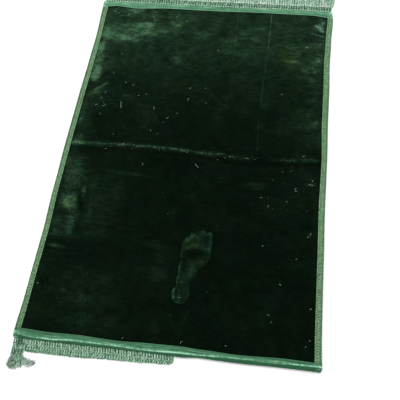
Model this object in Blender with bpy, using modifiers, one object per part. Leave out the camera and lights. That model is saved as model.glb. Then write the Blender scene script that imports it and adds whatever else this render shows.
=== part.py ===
"""Prayer rug: short velvet pile with its four edges taped and a yarn fringe on both ends.

Metres, +Z up, the long side along Y.  The origin is on the underside, at the middle of
the cloth.  The far fringe lies open on the floor.  The near end lies on its own fringe,
which is folded under it, except for the last few locks at the left corner.
"""

import math
import random

import bmesh
import bpy
from mathutils import Vector

MM = 0.001

# ------------------------------------------------------------------ driving dimensions
FIELD_HEIGHT = 6.0 * MM       # ground cloth and pile, standing free
TAPE_THICKNESS = 1.0 * MM
GAP = 0.3 * MM                # between two sewn pieces
YARN_HEIGHT = 1.3 * MM        # a lock of fringe pressed flat
LOCK_WIDTH = 3.6 * MM
LOCK_COUNT = 112              # locks along one fringe
LOCK_SWAY = 1.0 * MM          # how far a lock wanders sideways
FRINGE_REACH = 78.0 * MM      # full length of a lock past the tape
FAR_SPAN = (-397 * MM, 396 * MM)      # a fringe's first and last x
NEAR_SPAN = (-398 * MM, 390 * MM)
FLARE_START = 350 * MM        # past this the far locks spread
RIGHT_FLARE = 9 * MM
LEFT_FLARE = 4 * MM
TUCK_LIFT = YARN_HEIGHT + GAP   # how far the near end stands up on its folded fringe
CORNER_RADIUS = 9.0 * MM
LEFT_SETTLE = (30 * MM, 80 * MM)     # from the near roll in, where it comes down again
RIGHT_SETTLE = (86 * MM, 135 * MM)   # the same where the whole fringe is turned under
SETTLE_TURN = 30.0 * MM       # half the stretch across between the two
TURN_STRETCH = 16.0 * MM      # along which the near heading turns from out to under
STRIP_INSET = 5.0 * MM        # a fringe's heading strip, from its inner side to the roll
STRIP_WIDTH = 4.5 * MM
TAPE_MEETING = 381.0 * MM     # about where a side tape's inner edge meets an end tape
SEAM_GAP = 0.4                # mm between their edges
SEED = 11

# Each end tape across the rug: x, its rolled outer edge, its inner edge (mm).
NEAR_TAPE = (
    (-400, -609.0, -581.5),
    (-300, -609.0, -585.0),
    (-230, -609.0, -583.5),
    (-120, -608.8, -587.0),
    (-30, -609.0, -584.0),
    (45, -610.5, -583.0),
    (95, -607.4, -585.5),
    (190, -609.4, -588.0),
    (310, -607.8, -584.2),
    (400, -608.6, -586.0),
)
FAR_TAPE = (
    (-400, 604.5, 575.0),
    (-352, 604.0, 580.5),
    (-275, 603.2, 573.5),
    (-165, 603.6, 580.0),
    (0, 603.0, 578.5),
    (150, 603.6, 581.0),
    (330, 603.4, 580.0),
    (400, 602.5, 572.0),
)

# Each side tape along the rug: y, its outer edge, its inner edge (mm).
LEFT_TAPE = (
    (-605, -400.0, -382.5),
    (-440, -397.8, -381.5),
    (-300, -396.6, -379.5),
    (-160, -399.7, -382.5),
    (-10, -401.4, -382.5),
    (180, -400.0, -381.5),
    (330, -397.8, -378.5),
    (440, -395.6, -376.5),
    (560, -400.0, -379.5),
    (605, -402.0, -382.0),
)
RIGHT_TAPE = (
    (-605, 399.8, 380.5),
    (-520, 397.7, 379.0),
    (-300, 397.2, 378.0),
    (-160, 396.5, 377.5),
    (10, 398.8, 380.5),
    (120, 397.4, 378.0),
    (280, 398.8, 378.5),
    (360, 397.6, 378.0),
    (470, 400.6, 380.5),
    (560, 405.0, 385.0),
    (605, 401.5, 381.5),
)

# The fold crease across the middle: x, y of its crest, height of its crest (mm).
CREASE = (
    (-385, 5.0, 1.3),
    (-200, 10.0, 1.5),
    (-60, 8.5, 1.45),
    (50, 1.5, 1.35),
    (175, -10.0, 1.1),
    (250, -4.0, 0.6),
    (385, 5.0, 0.8),
)

CREASE_SWAY = 70 * MM         # how far from the crease the cloth's rows follow it
CREST_REACH = 6 * MM
TROUGH_OFFSET = 14 * MM       # from the crest towards the near end
TROUGH_REACH = 8 * MM
TROUGH_SHARE = 0.6            # of the crest's height

# Line on which the near fringe turns under: x, y (mm).  Right of the last row the
# fringe is turned under at its heading and doesn't show.
NEAR_FOLD = (
    (-362, -640.0),
    (-240, -640.0),
    (-130, -635.5),
    (32, -630.5),
)

# Section of an end tape's middle surface, from its inner top edge over the roll to its
# inner bottom edge: share of the tape's width, distance from the roll added to it, and
# height over the underside (mm).
END_SECTION = (
    (1.00, 0.0, 5.2),
    (0.72, 0.0, 5.8),
    (0.47, 0.0, 6.1),
    (0.00, 7.6, 5.5),
    (0.00, 3.4, 4.2),
    (0.00, 0.6, 2.9),
    (0.00, 1.6, 2.15),
    (0.00, 5.7, 2.1),
    (0.00, 7.9, 0.5),
    (0.48, 0.0, 0.5),
    (0.92, 0.0, 0.5),
)
END_TURN = 5                  # its row at the roll

# How an end tape is pressed together towards the rug's side edges: share of the side
# tape's width and distance from the edge, which give a station, and there the most
# height of its upper run and the least height of its lower run (mm).
END_PRESSING = (
    (0.00, 0.4, 3.9, 1.7),
    (0.00, 2.2, 5.0, 0.5),
    (0.40, 0.0, 5.6, 0.5),
    (1.00, 0.5, 6.1, 0.5),
    (1.00, 4.5, 6.1, 0.5),
)

# Section of a side tape, read the same way.
SIDE_SECTION = (
    (1.00, 0.0, 4.9),
    (0.60, 0.0, 5.0),
    (0.25, 0.0, 4.8),
    (0.00, 1.6, 4.2),
    (0.00, 0.5, 2.7),
    (0.00, 1.6, 1.1),
    (0.25, 0.0, 0.5),
    (0.90, 0.0, 0.5),
)

# The cloth's margin inside an end tape and just past it: share of the tape's width,
# distance from the roll added to it, underside height, top height (mm).
END_MARGIN = (
    (0.00, 5.4, 2.95, 3.7),
    (0.00, 7.0, 2.95, 4.2),
    (0.00, 9.4, 1.35, 4.9),
    (0.47, 0.0, 1.35, 5.2),
    (0.92, 0.4, 1.35, 4.5),
    (0.92, 1.4, 0.00, 4.4),
    (1.00, 0.6, 0.00, 4.4),
    (1.00, 4.5, 0.00, 6.0),
)
SIDE_MARGIN = (
    (0.00, 2.2, 1.70, 3.4),
    (0.25, 0.0, 1.35, 3.9),
    (0.60, 0.0, 1.35, 4.1),
    (0.90, 0.4, 1.35, 4.0),
    (0.90, 1.4, 0.00, 4.0),
    (1.00, 0.5, 0.00, 4.0),
    (1.00, 4.5, 0.00, 6.0),
)

# Rows and columns of the cloth between its margins (mm).
FIELD_ROWS = (-555, -525, -480, -400, -300, -200, -100, -40, -16, -7, 0, 7, 18,
              60, 150, 250, 350, 450, 520, 555)
FIELD_COLUMNS = (-300, -200, -100, -30, 30, 100, 170, 250, 320)

# Locks of the near left corner that hang out at full length.  For each the way it
# takes: x, y, width of the lock there (mm).
LOOSE_LOCKS = (
    ((-392.5, -622, 4.4), (-391.0, -640, 4.6), (-390.5, -655, 5.0),
     (-393.0, -669, 6.6), (-398.0, -682, 5.0)),
    ((-385.5, -622, 4.4), (-384.6, -640, 4.6), (-384.0, -656, 5.4),
     (-385.0, -671, 8.6), (-387.0, -686, 8.0)),
    ((-378.5, -622, 4.4), (-378.4, -640, 4.6), (-377.6, -656, 5.4),
     (-376.0, -671, 8.4), (-376.4, -687, 8.6)),
    ((-371.5, -622, 4.4), (-372.4, -640, 4.4), (-371.0, -655, 5.0),
     (-366.0, -668, 8.4), (-361.5, -679, 12.0)),
    ((-364.5, -622, 4.4), (-366.0, -640, 4.4), (-364.5, -652, 5.0),
     (-357.5, -660.0, 9.0), (-343.0, -665.0, 17.0), (-331.0, -666.5, 11.0)),
)


# ------------------------------------------------------------------------ shared forms
def ease(value, start, end):
    """Soft step from 0 at start to 1 at end."""
    t = min(max((value - start) / (end - start), 0.0), 1.0)
    return t * t * (3.0 - 2.0 * t)


def hump(value, centre, reach):
    """Soft hump of height 1 at centre."""
    return math.exp(-(((value - centre) / reach) ** 2))


def read(table, place, column=1):
    """A column of a table in mm, read at a place in metres and eased between its rows."""
    place = min(max(place, table[0][0] * MM), table[-1][0] * MM)
    for row, after in zip(table, table[1:]):
        if place <= after[0] * MM:
            step = ease(place, row[0] * MM, after[0] * MM)
            return MM * (row[column] + (after[column] - row[column]) * step)
    return MM * table[-1][column]


def corner_inset(inward):
    """How far the rounded corner draws a side edge in, this far from the rolled edge."""
    rise = CORNER_RADIUS - min(max(inward, 0.0), CORNER_RADIUS)
    return CORNER_RADIUS - math.sqrt(CORNER_RADIUS ** 2 - rise ** 2)


def from_roll(x, y):
    """Distance of a point from the rolled edge of the nearer end tape."""
    if y < 0.0:
        return y - read(NEAR_TAPE, x)
    return read(FAR_TAPE, x) - y


def underside(x, y):
    """Height of the rug's underside: it rises where its own fringe is folded below it."""
    inward = y - read(NEAR_TAPE, x)
    left_share = 1.0 - ease(inward, *LEFT_SETTLE)
    right_share = 1.0 - ease(inward, *RIGHT_SETTLE)
    rightness = ease(x, -SETTLE_TURN, SETTLE_TURN)
    return TUCK_LIFT * (left_share + (right_share - left_share) * rightness)


def end_point(x, end, share, added, height):
    """A point in the section of the near (-1) or far (+1) end tape at x."""
    table = NEAR_TAPE if end < 0 else FAR_TAPE
    roll = read(table, x)
    width = abs(read(table, x, 2) - roll)
    y = roll - end * (share * width + added * MM)
    return Vector((x, y, underside(x, y) + height * MM))


def side_x(y, side, share, added):
    """x of a point in the section of the left (-1) or right (+1) side tape at y."""
    table = LEFT_TAPE if side < 0 else RIGHT_TAPE
    outer = read(table, y)
    inset = corner_inset(from_roll(outer, y))
    width = abs(read(table, y, 2) - outer) - inset
    return outer - side * (inset + share * width + added * MM)


# --------------------------------------------------------------------- building blocks
def new_collection(name):
    collection = bpy.data.collections.new(name)
    bpy.context.scene.collection.children.link(collection)
    return collection


def new_material(name, color, roughness):
    material = bpy.data.materials.new(name)
    material.use_nodes = True
    shader = material.node_tree.nodes["Principled BSDF"]
    shader.inputs["Base Color"].default_value = (*color, 1.0)
    shader.inputs["Roughness"].default_value = roughness
    shader.inputs["Metallic"].default_value = 0.0
    return material


def new_object(name, bm, material, collection):
    bmesh.ops.recalc_face_normals(bm, faces=bm.faces[:])
    mesh = bpy.data.meshes.new(name)
    bm.to_mesh(mesh)
    bm.free()
    mesh.shade_smooth()
    mesh.set_sharp_from_angle(angle=math.radians(50))
    mesh.materials.append(material)
    item = bpy.data.objects.new(name, mesh)
    collection.objects.link(item)
    return item


def grid(columns, rows):
    """A flat grid, one unit wide and one deep, still to be shaped."""
    bm = bmesh.new()
    bmesh.ops.create_grid(bm, x_segments=columns - 1, y_segments=rows - 1, size=0.5)
    return bm


def grid_cell(vertex, columns, rows):
    """Column and row of a grid vertex that hasn't been moved yet."""
    column = round((vertex.co.x + 0.5) * (columns - 1))
    row = round((vertex.co.y + 0.5) * (rows - 1))
    return column, row


def thick_sheet(columns, rows, lower, upper):
    """A closed sheet: its faces follow lower(column, row) and upper(column, row)."""
    bm = grid(columns, rows)
    made = bmesh.ops.extrude_face_region(bm, geom=bm.faces[:])["geom"]
    raised = {item for item in made if isinstance(item, bmesh.types.BMVert)}
    for vertex in bm.verts:
        place = upper if vertex in raised else lower
        vertex.co = place(*grid_cell(vertex, columns, rows))
    return bm


# ---------------------------------------------------------------------- the velvet cloth
def margin_lines(end_rows, field):
    """Lines of the cloth one way: first margin, open field, last margin."""
    first = [("first", row) for row in end_rows]
    middle = [("field", place * MM) for place in field]
    last = [("last", row) for row in reversed(end_rows)]
    return first + middle + last


ROWS = margin_lines(END_MARGIN, FIELD_ROWS)
COLUMNS = margin_lines(SIDE_MARGIN, FIELD_COLUMNS)


def row_y(row, x):
    """y of a row of the cloth at x; the rows by the crease wander with it."""
    kind, value = row
    if kind == "field":
        return value + read(CREASE, x) * hump(value, 0.0, CREASE_SWAY)
    end = -1 if kind == "first" else 1
    return end_point(x, end, value[0], value[1], 0.0).y


def column_x(column, y):
    """x of a column of the cloth at y."""
    kind, value = column
    if kind == "field":
        return value
    return side_x(y, -1 if kind == "first" else 1, value[0], value[1])


def cloth_place(column, row):
    """x and y of a crossing of the cloth's lines."""
    x = column_x(COLUMNS[column], 0.0)
    y = row_y(ROWS[row], x)
    x = column_x(COLUMNS[column], y)
    return x, row_y(ROWS[row], x)


def line_height(line, position):
    """Underside (2) or top (3) of a margin line, or of the open field."""
    kind, value = line
    if kind == "field":
        return 0.0 if position == 2 else FIELD_HEIGHT
    return value[position] * MM


def crease_height(x, y):
    """The crest of the crease and the trough in front of it."""
    crest = read(CREASE, x)
    ridge = hump(y, crest, CREST_REACH)
    trough = hump(y, crest - TROUGH_OFFSET, TROUGH_REACH)
    return read(CREASE, x, 2) * (ridge - TROUGH_SHARE * trough)


def cloth_lower(column, row):
    x, y = cloth_place(column, row)
    height = max(line_height(COLUMNS[column], 2), line_height(ROWS[row], 2))
    return Vector((x, y, underside(x, y) + height))


def cloth_upper(column, row):
    x, y = cloth_place(column, row)
    height = min(line_height(COLUMNS[column], 3), line_height(ROWS[row], 3))
    if COLUMNS[column][0] == "field" or COLUMNS[column][1] == SIDE_MARGIN[-1]:
        height += crease_height(x, y)
    return Vector((x, y, underside(x, y) + height))


def make_cloth(collection, material):
    bm = thick_sheet(len(COLUMNS), len(ROWS), cloth_lower, cloth_upper)
    return new_object("velvet_cloth", bm, material, collection)


# ----------------------------------------------------------------------------- the tapes
def add_thickness(item):
    """Turn a tape's middle surface into cloth of even thickness."""
    solid = item.modifiers.new("thickness", "SOLIDIFY")
    solid.thickness = TAPE_THICKNESS
    solid.offset = 0.0
    solid.use_even_offset = True
    solid.use_quality_normals = True


END_STATIONS = margin_lines(END_PRESSING, FIELD_COLUMNS)
SIDE_STATIONS = margin_lines(((1.00, SEAM_GAP), END_MARGIN[-1]), FIELD_ROWS)


def end_tape_place(station, row, end):
    """A point of an end tape, which closes towards the rug's side edges."""
    share, added, height = END_SECTION[row]
    kind, value = END_STATIONS[station]
    if kind == "field":
        return end_point(value, end, share, added, height)
    side = -1 if kind == "first" else 1
    y = end_point(side * TAPE_MEETING, end, share, added, height).y
    x = side_x(y, side, value[0], value[1])
    if row < END_TURN:
        height = min(height, value[2])
    elif row > END_TURN:
        height = max(height, value[3])
    return end_point(x, end, share, added, height)


def make_end_tape(name, end, collection, material):
    """A satin tape folded over one end of the cloth, over its whole width."""
    bm = grid(len(END_STATIONS), len(END_SECTION))
    for vertex in bm.verts:
        station, row = grid_cell(vertex, len(END_STATIONS), len(END_SECTION))
        vertex.co = end_tape_place(station, row, end)
    item = new_object(name, bm, material, collection)
    add_thickness(item)
    return item


def side_tape_place(station, row, side):
    """A point of a side tape, whose ends follow the inner edges of the end tapes."""
    share, added, height = SIDE_SECTION[row]
    y = row_y(SIDE_STATIONS[station], side * TAPE_MEETING)
    x = side_x(y, side, share, added)
    y = row_y(SIDE_STATIONS[station], x)
    return Vector((x, y, underside(x, y) + height * MM))


def make_side_tape(name, side, collection, material):
    """A woven tape folded over one long edge of the cloth, from end tape to end tape."""
    bm = grid(len(SIDE_STATIONS), len(SIDE_SECTION))
    for vertex in bm.verts:
        station, row = grid_cell(vertex, len(SIDE_STATIONS), len(SIDE_SECTION))
        vertex.co = side_tape_place(station, row, side)
    item = new_object(name, bm, material, collection)
    add_thickness(item)
    return item


# --------------------------------------------------------------------------- the fringes
def lock_pitch(span):
    """Distance between the locks of a fringe that reaches from span[0] to span[1]."""
    return (span[1] - span[0]) / LOCK_COUNT


def lock_x(span, lock):
    """x of the middle of a lock's root."""
    return span[0] + (lock + 1) * lock_pitch(span) - LOCK_WIDTH / 2


def heading_strip(span, place):
    """A narrow strip of cells, by turns a gap and the root of a lock.

    place(x, across, up) gives a point of it; across and up run from 0 to 1.
    """
    pitch = lock_pitch(span)

    def line_x(column):
        in_pitch = pitch - LOCK_WIDTH if column % 2 else 0.0
        return span[0] + column // 2 * pitch + in_pitch

    def lower(column, row):
        return place(line_x(column), row, 0)

    def upper(column, row):
        return place(line_x(column), row, 1)

    return thick_sheet(2 * LOCK_COUNT + 2, 2, lower, upper)


def root_face(bm, centre_x, face_y):
    """The side face of the strip on which a lock grows."""
    def misfit(face):
        middle = face.calc_center_median()
        lean = 1.0 - abs(face.normal.y)
        return abs(middle.x - centre_x) + abs(middle.y - face_y) + lean
    return min(bm.faces, key=misfit)


RING_CORNERS = ((-1, -1), (1, -1), (1, 1), (-1, 1))    # across, up


def ring(centre, across, up, width):
    """Corners of a lock's cross-section."""
    return [centre + across * (side * width / 2) + up * (level * YARN_HEIGHT / 2)
            for side, level in RING_CORNERS]


def grow_lock(bm, face, rings):
    """Draw a lock out of the strip, ring after ring."""
    middle = face.calc_center_median()
    order = []
    for vertex in face.verts:
        side = 1 if vertex.co.x > middle.x else -1
        level = 1 if vertex.co.z > middle.z else -1
        order.append(RING_CORNERS.index((side, level)))
    for points in rings:
        face = bmesh.ops.extrude_discrete_faces(bm, faces=[face])["faces"][0]
        for vertex, corner in zip(face.verts, order):
            vertex.co = points[corner]


def floor_rings(way, first_level):
    """Rings of a lock that runs along the floor; the way holds x, y, width."""
    rings = []
    for step, (x, y, width) in enumerate(way):
        before = way[max(step - 1, 0)]
        after = way[min(step + 1, len(way) - 1)]
        heading = Vector((after[0] - before[0], after[1] - before[1], 0.0)).normalized()
        across = Vector((-heading.y, heading.x, 0.0))
        if across.x < 0.0:
            across = -across
        level = first_level if step == 0 else YARN_HEIGHT / 2
        rings.append(ring(Vector((x, y, level)), across, Vector((0, 0, 1)), width))
    return rings


def folded_rings(x, fold_y, roll):
    """Rings of a lock that runs out from the near edge, turns under and comes back."""
    radius = TUCK_LIFT / 2
    turn_y = fold_y + radius + YARN_HEIGHT / 2
    turn_z = YARN_HEIGHT / 2 + radius
    across = Vector((1, 0, 0))
    rings = []
    for degrees in (0, 60, 120, 180):
        angle = math.radians(degrees)
        centre = Vector((x, turn_y - radius * math.sin(angle),
                         turn_z + radius * math.cos(angle)))
        up = Vector((0.0, -math.sin(angle), math.cos(angle)))
        rings.append(ring(centre, across, up, LOCK_WIDTH))
    left_over = FRINGE_REACH - (roll - turn_y) - math.pi * radius
    end = Vector((x, turn_y + left_over, YARN_HEIGHT / 2))
    rings.append(ring(end, across, Vector((0, 0, -1)), LOCK_WIDTH))
    return rings


def open_way(rng, x, roll):
    """Way of a lock of the far fringe: slightly uneven, the outer ones spreading."""
    flare = RIGHT_FLARE * ease(x, FLARE_START, FAR_SPAN[1])
    flare -= LEFT_FLARE * ease(-x, FLARE_START, -FAR_SPAN[0])
    sway = rng.uniform(-LOCK_SWAY, LOCK_SWAY)
    curl = rng.uniform(-LOCK_SWAY, LOCK_SWAY)
    reach = FRINGE_REACH + rng.uniform(-3.0, 2.0) * MM
    return [(x + 0.4 * sway, roll + 0.2 * reach, LOCK_WIDTH),
            (x + sway + 0.3 * flare, roll + 0.5 * reach, LOCK_WIDTH),
            (x + curl + 0.7 * flare, roll + 0.8 * reach, 1.05 * LOCK_WIDTH),
            (x + 0.5 * (sway + curl) + flare, roll + reach, 1.1 * LOCK_WIDTH)]


def make_far_fringe(collection, material):
    """The open fringe: a strip under the roll of the far tape, its locks on the floor."""
    rng = random.Random(SEED)

    def place(x, across, up):
        y = read(FAR_TAPE, x) - STRIP_INSET + across * STRIP_WIDTH
        return Vector((x, y, up * YARN_HEIGHT))

    bm = heading_strip(FAR_SPAN, place)
    for lock in range(LOCK_COUNT):
        x = lock_x(FAR_SPAN, lock)
        roll = read(FAR_TAPE, x)
        face = root_face(bm, x, roll - STRIP_INSET + STRIP_WIDTH)
        grow_lock(bm, face, floor_rings(open_way(rng, x, roll), YARN_HEIGHT / 2))
    return new_object("fringe_far", bm, material, collection)


def make_near_fringe(collection, material):
    """The near fringe: folded under at the left, turned in at its heading at the right."""
    rng = random.Random(SEED + 1)
    fold_end = NEAR_FOLD[-1][0] * MM

    def place(x, across, up):
        y = read(NEAR_TAPE, x) + STRIP_INSET - across * STRIP_WIDTH
        raised = TUCK_LIFT * (1.0 - ease(x, fold_end, fold_end + TURN_STRETCH))
        return Vector((x, y, raised + up * YARN_HEIGHT))

    bm = heading_strip(NEAR_SPAN, place)
    for lock in range(LOCK_COUNT):
        x = lock_x(NEAR_SPAN, lock)
        roll = read(NEAR_TAPE, x)
        drift = rng.uniform(-LOCK_SWAY, LOCK_SWAY)
        outer_face_y = roll + STRIP_INSET - STRIP_WIDTH
        if lock < len(LOOSE_LOCKS):
            way = [tuple(value * MM for value in step) for step in LOOSE_LOCKS[lock]]
            face = root_face(bm, x, outer_face_y)
            grow_lock(bm, face, floor_rings(way, TUCK_LIFT))
        elif x < fold_end - LOCK_WIDTH / 2:
            fold_y = read(NEAR_FOLD, x) + rng.uniform(-0.6, 0.6) * MM
            face = root_face(bm, x, outer_face_y)
            grow_lock(bm, face, folded_rings(x + drift, fold_y, roll))
        elif x > fold_end + TURN_STRETCH:
            reach = FRINGE_REACH + rng.uniform(-2.0, 2.0) * MM
            way = [(x + 0.3 * drift, roll + 0.4 * reach, LOCK_WIDTH),
                   (x + drift, roll + reach, LOCK_WIDTH)]
            face = root_face(bm, x, roll + STRIP_INSET)
            grow_lock(bm, face, floor_rings(way, YARN_HEIGHT / 2))
    return new_object("fringe_near", bm, material, collection)


# ---------------------------------------------------------------------------------- main
def main():
    for item in list(bpy.data.objects):
        bpy.data.objects.remove(item, do_unlink=True)
    collection = new_collection("prayer_rug")
    pile = new_material("velvet_pile", (0.006, 0.019, 0.010), 0.9)
    satin = new_material("satin_tape", (0.12, 0.33, 0.20), 0.4)
    braid = new_material("side_tape", (0.17, 0.33, 0.15), 0.7)
    yarn = new_material("fringe_yarn", (0.33, 0.50, 0.37), 0.6)
    make_cloth(collection, pile)
    make_side_tape("side_tape_left", -1, collection, braid)
    make_side_tape("side_tape_right", 1, collection, braid)
    make_end_tape("end_tape_near", -1, collection, satin)
    make_end_tape("end_tape_far", 1, collection, satin)
    make_far_fringe(collection, yarn)
    make_near_fringe(collection, yarn)


main()
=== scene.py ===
"""Looks of a prayer rug: dark green velvet, woven side tapes, satin end tapes and fringe.

Metres, +Z up. The rug lies on the floor with its long side along Y and its near end at
-Y. Each section is one piece or one pair of like pieces, in the order of the sewing.
"""

import math

import bpy
import numpy as np
from mathutils import Matrix, Vector


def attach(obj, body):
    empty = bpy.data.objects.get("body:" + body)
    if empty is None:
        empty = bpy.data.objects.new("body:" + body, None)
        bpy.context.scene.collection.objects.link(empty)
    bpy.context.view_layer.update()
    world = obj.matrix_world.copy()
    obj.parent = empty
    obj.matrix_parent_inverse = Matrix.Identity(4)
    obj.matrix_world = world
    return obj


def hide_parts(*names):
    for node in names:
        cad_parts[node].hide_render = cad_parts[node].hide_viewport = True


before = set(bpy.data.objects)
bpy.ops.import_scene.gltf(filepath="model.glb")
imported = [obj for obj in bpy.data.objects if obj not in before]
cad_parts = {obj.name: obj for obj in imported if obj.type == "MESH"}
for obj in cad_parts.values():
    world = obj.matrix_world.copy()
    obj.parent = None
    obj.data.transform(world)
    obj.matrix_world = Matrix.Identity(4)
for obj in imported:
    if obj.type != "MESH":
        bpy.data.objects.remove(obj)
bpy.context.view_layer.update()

MM = 0.001


# ------------------------------------------------------------- floor, light and camera
# A plain pale floor under a wide soft lamp on the far side, with an even pale light all
# round. The camera stands at the near right and looks down on the rug.
FLOOR_SIZE = 12.0
FLOOR_DROP = 0.15 * MM  # keeps the floor clear of the rug's flat underside
FLOOR_COLOUR = (0.95, 0.95, 0.95, 1.0)
FLOOR_ROUGHNESS = 0.9
ROOM_COLOUR = (1.0, 1.0, 1.0, 1.0)
ROOM_STRENGTH = 0.90
LAMP_SIZE = 2.2
LAMP_PLACE = Vector((-0.55, 0.95, 2.3))
LAMP_AIM = Vector((0.0, 0.05, 0.0))
LAMP_POWER = 37.0
CAMERA_PLACE = Vector((0.21722, -0.89507, 1.46240))
CAMERA_TURN = -0.237301  # radians from +Y towards +X
CAMERA_DIP = 1.092234  # radians below the horizon
CAMERA_ROLL = -0.126365
CAMERA_LENS = 51.108  # mm, on a 36 mm wide sensor


def add_node(tree, kind, inputs=None, **settings):
    """A shader node; each input gets a value, or a link where it is given a socket."""
    node = tree.nodes.new(kind)
    for name, value in settings.items():
        setattr(node, name, value)
    for name, value in (inputs or {}).items():
        if isinstance(value, bpy.types.NodeSocket):
            tree.links.new(value, node.inputs[name])
        else:
            node.inputs[name].default_value = value
    return node


def new_finish(name, **constants):
    """A material with its shader's constant values set on the shader's own sockets."""
    material = bpy.data.materials.new(name)
    material.use_nodes = True
    shader = material.node_tree.nodes["Principled BSDF"]
    for socket, value in constants.items():
        shader.inputs[socket.replace("_", " ")].default_value = value
    return material, material.node_tree, shader


floor_mesh = bpy.data.meshes.new("studio_floor")
half = FLOOR_SIZE / 2
floor_corners = [(-half, -half, 0.0), (half, -half, 0.0), (half, half, 0.0), (-half, half, 0.0)]
floor_mesh.from_pydata(floor_corners, [], [(0, 1, 2, 3)])
floor_finish, _, floor_shader = new_finish("studio_floor", Roughness=FLOOR_ROUGHNESS)
floor_shader.inputs["Base Color"].default_value = FLOOR_COLOUR
floor_mesh.materials.append(floor_finish)
floor = bpy.data.objects.new("studio_floor", floor_mesh)
floor.location.z = -FLOOR_DROP
bpy.context.scene.collection.objects.link(floor)

world = bpy.data.worlds.new("studio_light")
world.use_nodes = True
world.node_tree.nodes["Background"].inputs["Color"].default_value = ROOM_COLOUR
world.node_tree.nodes["Background"].inputs["Strength"].default_value = ROOM_STRENGTH
bpy.context.scene.world = world

lamp_data = bpy.data.lights.new("soft_lamp", "AREA")
lamp_data.size = LAMP_SIZE
lamp_data.energy = LAMP_POWER
lamp = bpy.data.objects.new("soft_lamp", lamp_data)
lamp.location = LAMP_PLACE
lamp.rotation_euler = (LAMP_AIM - LAMP_PLACE).to_track_quat("-Z", "Y").to_euler()
bpy.context.scene.collection.objects.link(lamp)

ahead = Vector((math.sin(CAMERA_TURN) * math.cos(CAMERA_DIP),
                math.cos(CAMERA_TURN) * math.cos(CAMERA_DIP),
                -math.sin(CAMERA_DIP)))
level_right = ahead.cross(Vector((0.0, 0.0, 1.0))).normalized()
level_up = level_right.cross(ahead)
camera_right = math.cos(CAMERA_ROLL) * level_right + math.sin(CAMERA_ROLL) * level_up
camera_up = math.cos(CAMERA_ROLL) * level_up - math.sin(CAMERA_ROLL) * level_right
camera_data = bpy.data.cameras.new("camera")
camera_data.lens = CAMERA_LENS
camera = bpy.data.objects.new("camera", camera_data)
camera_axes = Matrix((camera_right, camera_up, -ahead)).transposed().to_4x4()
camera.matrix_world = Matrix.Translation(CAMERA_PLACE) @ camera_axes
bpy.context.scene.collection.objects.link(camera)
bpy.context.scene.camera = camera
bpy.context.scene.view_settings.view_transform = "Standard"


# ------------------------------------------------------------------------ velvet cloth
# One velvet cloth: a short dark green pile woven into a thin pale ground, with its raw
# edges sewn into the four tapes. The pile is brushed light in places, creased where the
# rug was folded for storage, and pressed down by one bare foot.
PILE_HEIGHT = 6.0 * MM  # ground and pile, standing free
TUCK_LIFT = 1.6 * MM  # the near end lies on its own fringe, folded under it
LEFT_SETTLE = (30 * MM, 80 * MM)  # from the near roll in, where it comes down again
RIGHT_SETTLE = (86 * MM, 135 * MM)
SETTLE_TURN = 30 * MM
CORNER_RADIUS = 9.0 * MM

# Each end tape across the rug: x, its rolled outer edge, its inner edge (mm).
NEAR_TAPE = (
    (-400, -609.0, -582.1), (-300, -609.0, -585.6), (-230, -609.0, -584.1), (-120, -608.8, -587.6),
    (-30, -609.0, -584.6), (45, -610.5, -583.6), (95, -607.4, -586.1), (190, -609.4, -588.6),
    (310, -607.8, -584.8), (400, -608.6, -586.6),
)
FAR_TAPE = (
    (-400, 604.5, 575.0), (-352, 604.0, 580.5), (-275, 603.2, 573.5), (-165, 603.6, 580.0),
    (0, 603.0, 578.5), (150, 603.6, 581.0), (330, 603.4, 580.0), (400, 602.5, 572.0),
)
# Each side tape along the rug: y, its outer edge, its inner edge (mm).
LEFT_TAPE = (
    (-605, -401.6, -384.0), (-440, -399.4, -383.2), (-300, -398.3, -381.5), (-160, -401.6, -384.9),
    (-10, -403.1, -384.7), (180, -402.0, -383.0), (330, -399.3, -380.2), (440, -397.5, -379.8),
    (560, -401.5, -382.4), (605, -403.0, -384.5),
)
RIGHT_TAPE = (
    (-605, 399.8, 381.3), (-520, 397.3, 379.7), (-300, 396.9, 379.3), (-160, 396.1, 378.4),
    (10, 398.4, 381.7), (120, 397.8, 379.2), (280, 399.0, 380.0), (360, 398.0, 379.3),
    (470, 400.6, 382.0), (560, 404.6, 386.4), (605, 401.3, 382.6),
)
# Margins of the cloth inside an end tape and a side tape: share of the tape's width,
# distance from its outer edge added to it, underside height, top height (mm).
END_MARGIN = (
    (0.00, 5.4, 2.95, 3.7), (0.00, 7.0, 2.95, 4.2), (0.00, 9.4, 1.35, 4.9), (0.47, 0.0, 1.35, 5.2),
    (0.70, 0.0, 1.35, 5.0), (0.92, 0.4, 1.35, 4.5), (0.92, 1.4, 0.00, 4.4), (1.00, 0.6, 0.00, 4.5),
    (1.00, 1.3, 0.00, 5.1), (1.00, 2.4, 0.00, 5.7), (1.00, 4.5, 0.00, 6.0),
)
SIDE_MARGIN = (
    (0.00, 2.2, 1.70, 3.4), (0.25, 0.0, 1.35, 3.9), (0.60, 0.0, 1.35, 4.1), (0.90, 0.4, 1.35, 4.0),
    (0.90, 1.4, 0.00, 4.0), (1.00, 0.5, 0.00, 4.2), (1.00, 1.2, 0.00, 5.0), (1.00, 2.3, 0.00, 5.7),
    (1.00, 4.5, 0.00, 6.0),
)
ROWS_BETWEEN, COLUMNS_BETWEEN = (-580, 575), (-376, 374)  # y and x of the open pile (mm)
ROW_STEP = 5.0  # mm between the rows of the pile's mesh
CLOSER_ROWS = ((-575, -560, 3.0), (-486, -244, 2.7), (-104, -84, 3.0), (-30, 22, 1.6),
               (498, 538, 3.2), (560, 572, 3.0))
COLUMN_STEP = 4.6
CLOSER_COLUMNS = ((-378, -366, 3.0), (-8, 98, 2.5), (366, 378, 3.0))
STEP_EASE = 12.0  # mm over which the steps change
SHEET_SHARP, YARN_SHARP = 50, 60  # degrees from which an edge of a mesh shows as sharp

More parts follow.
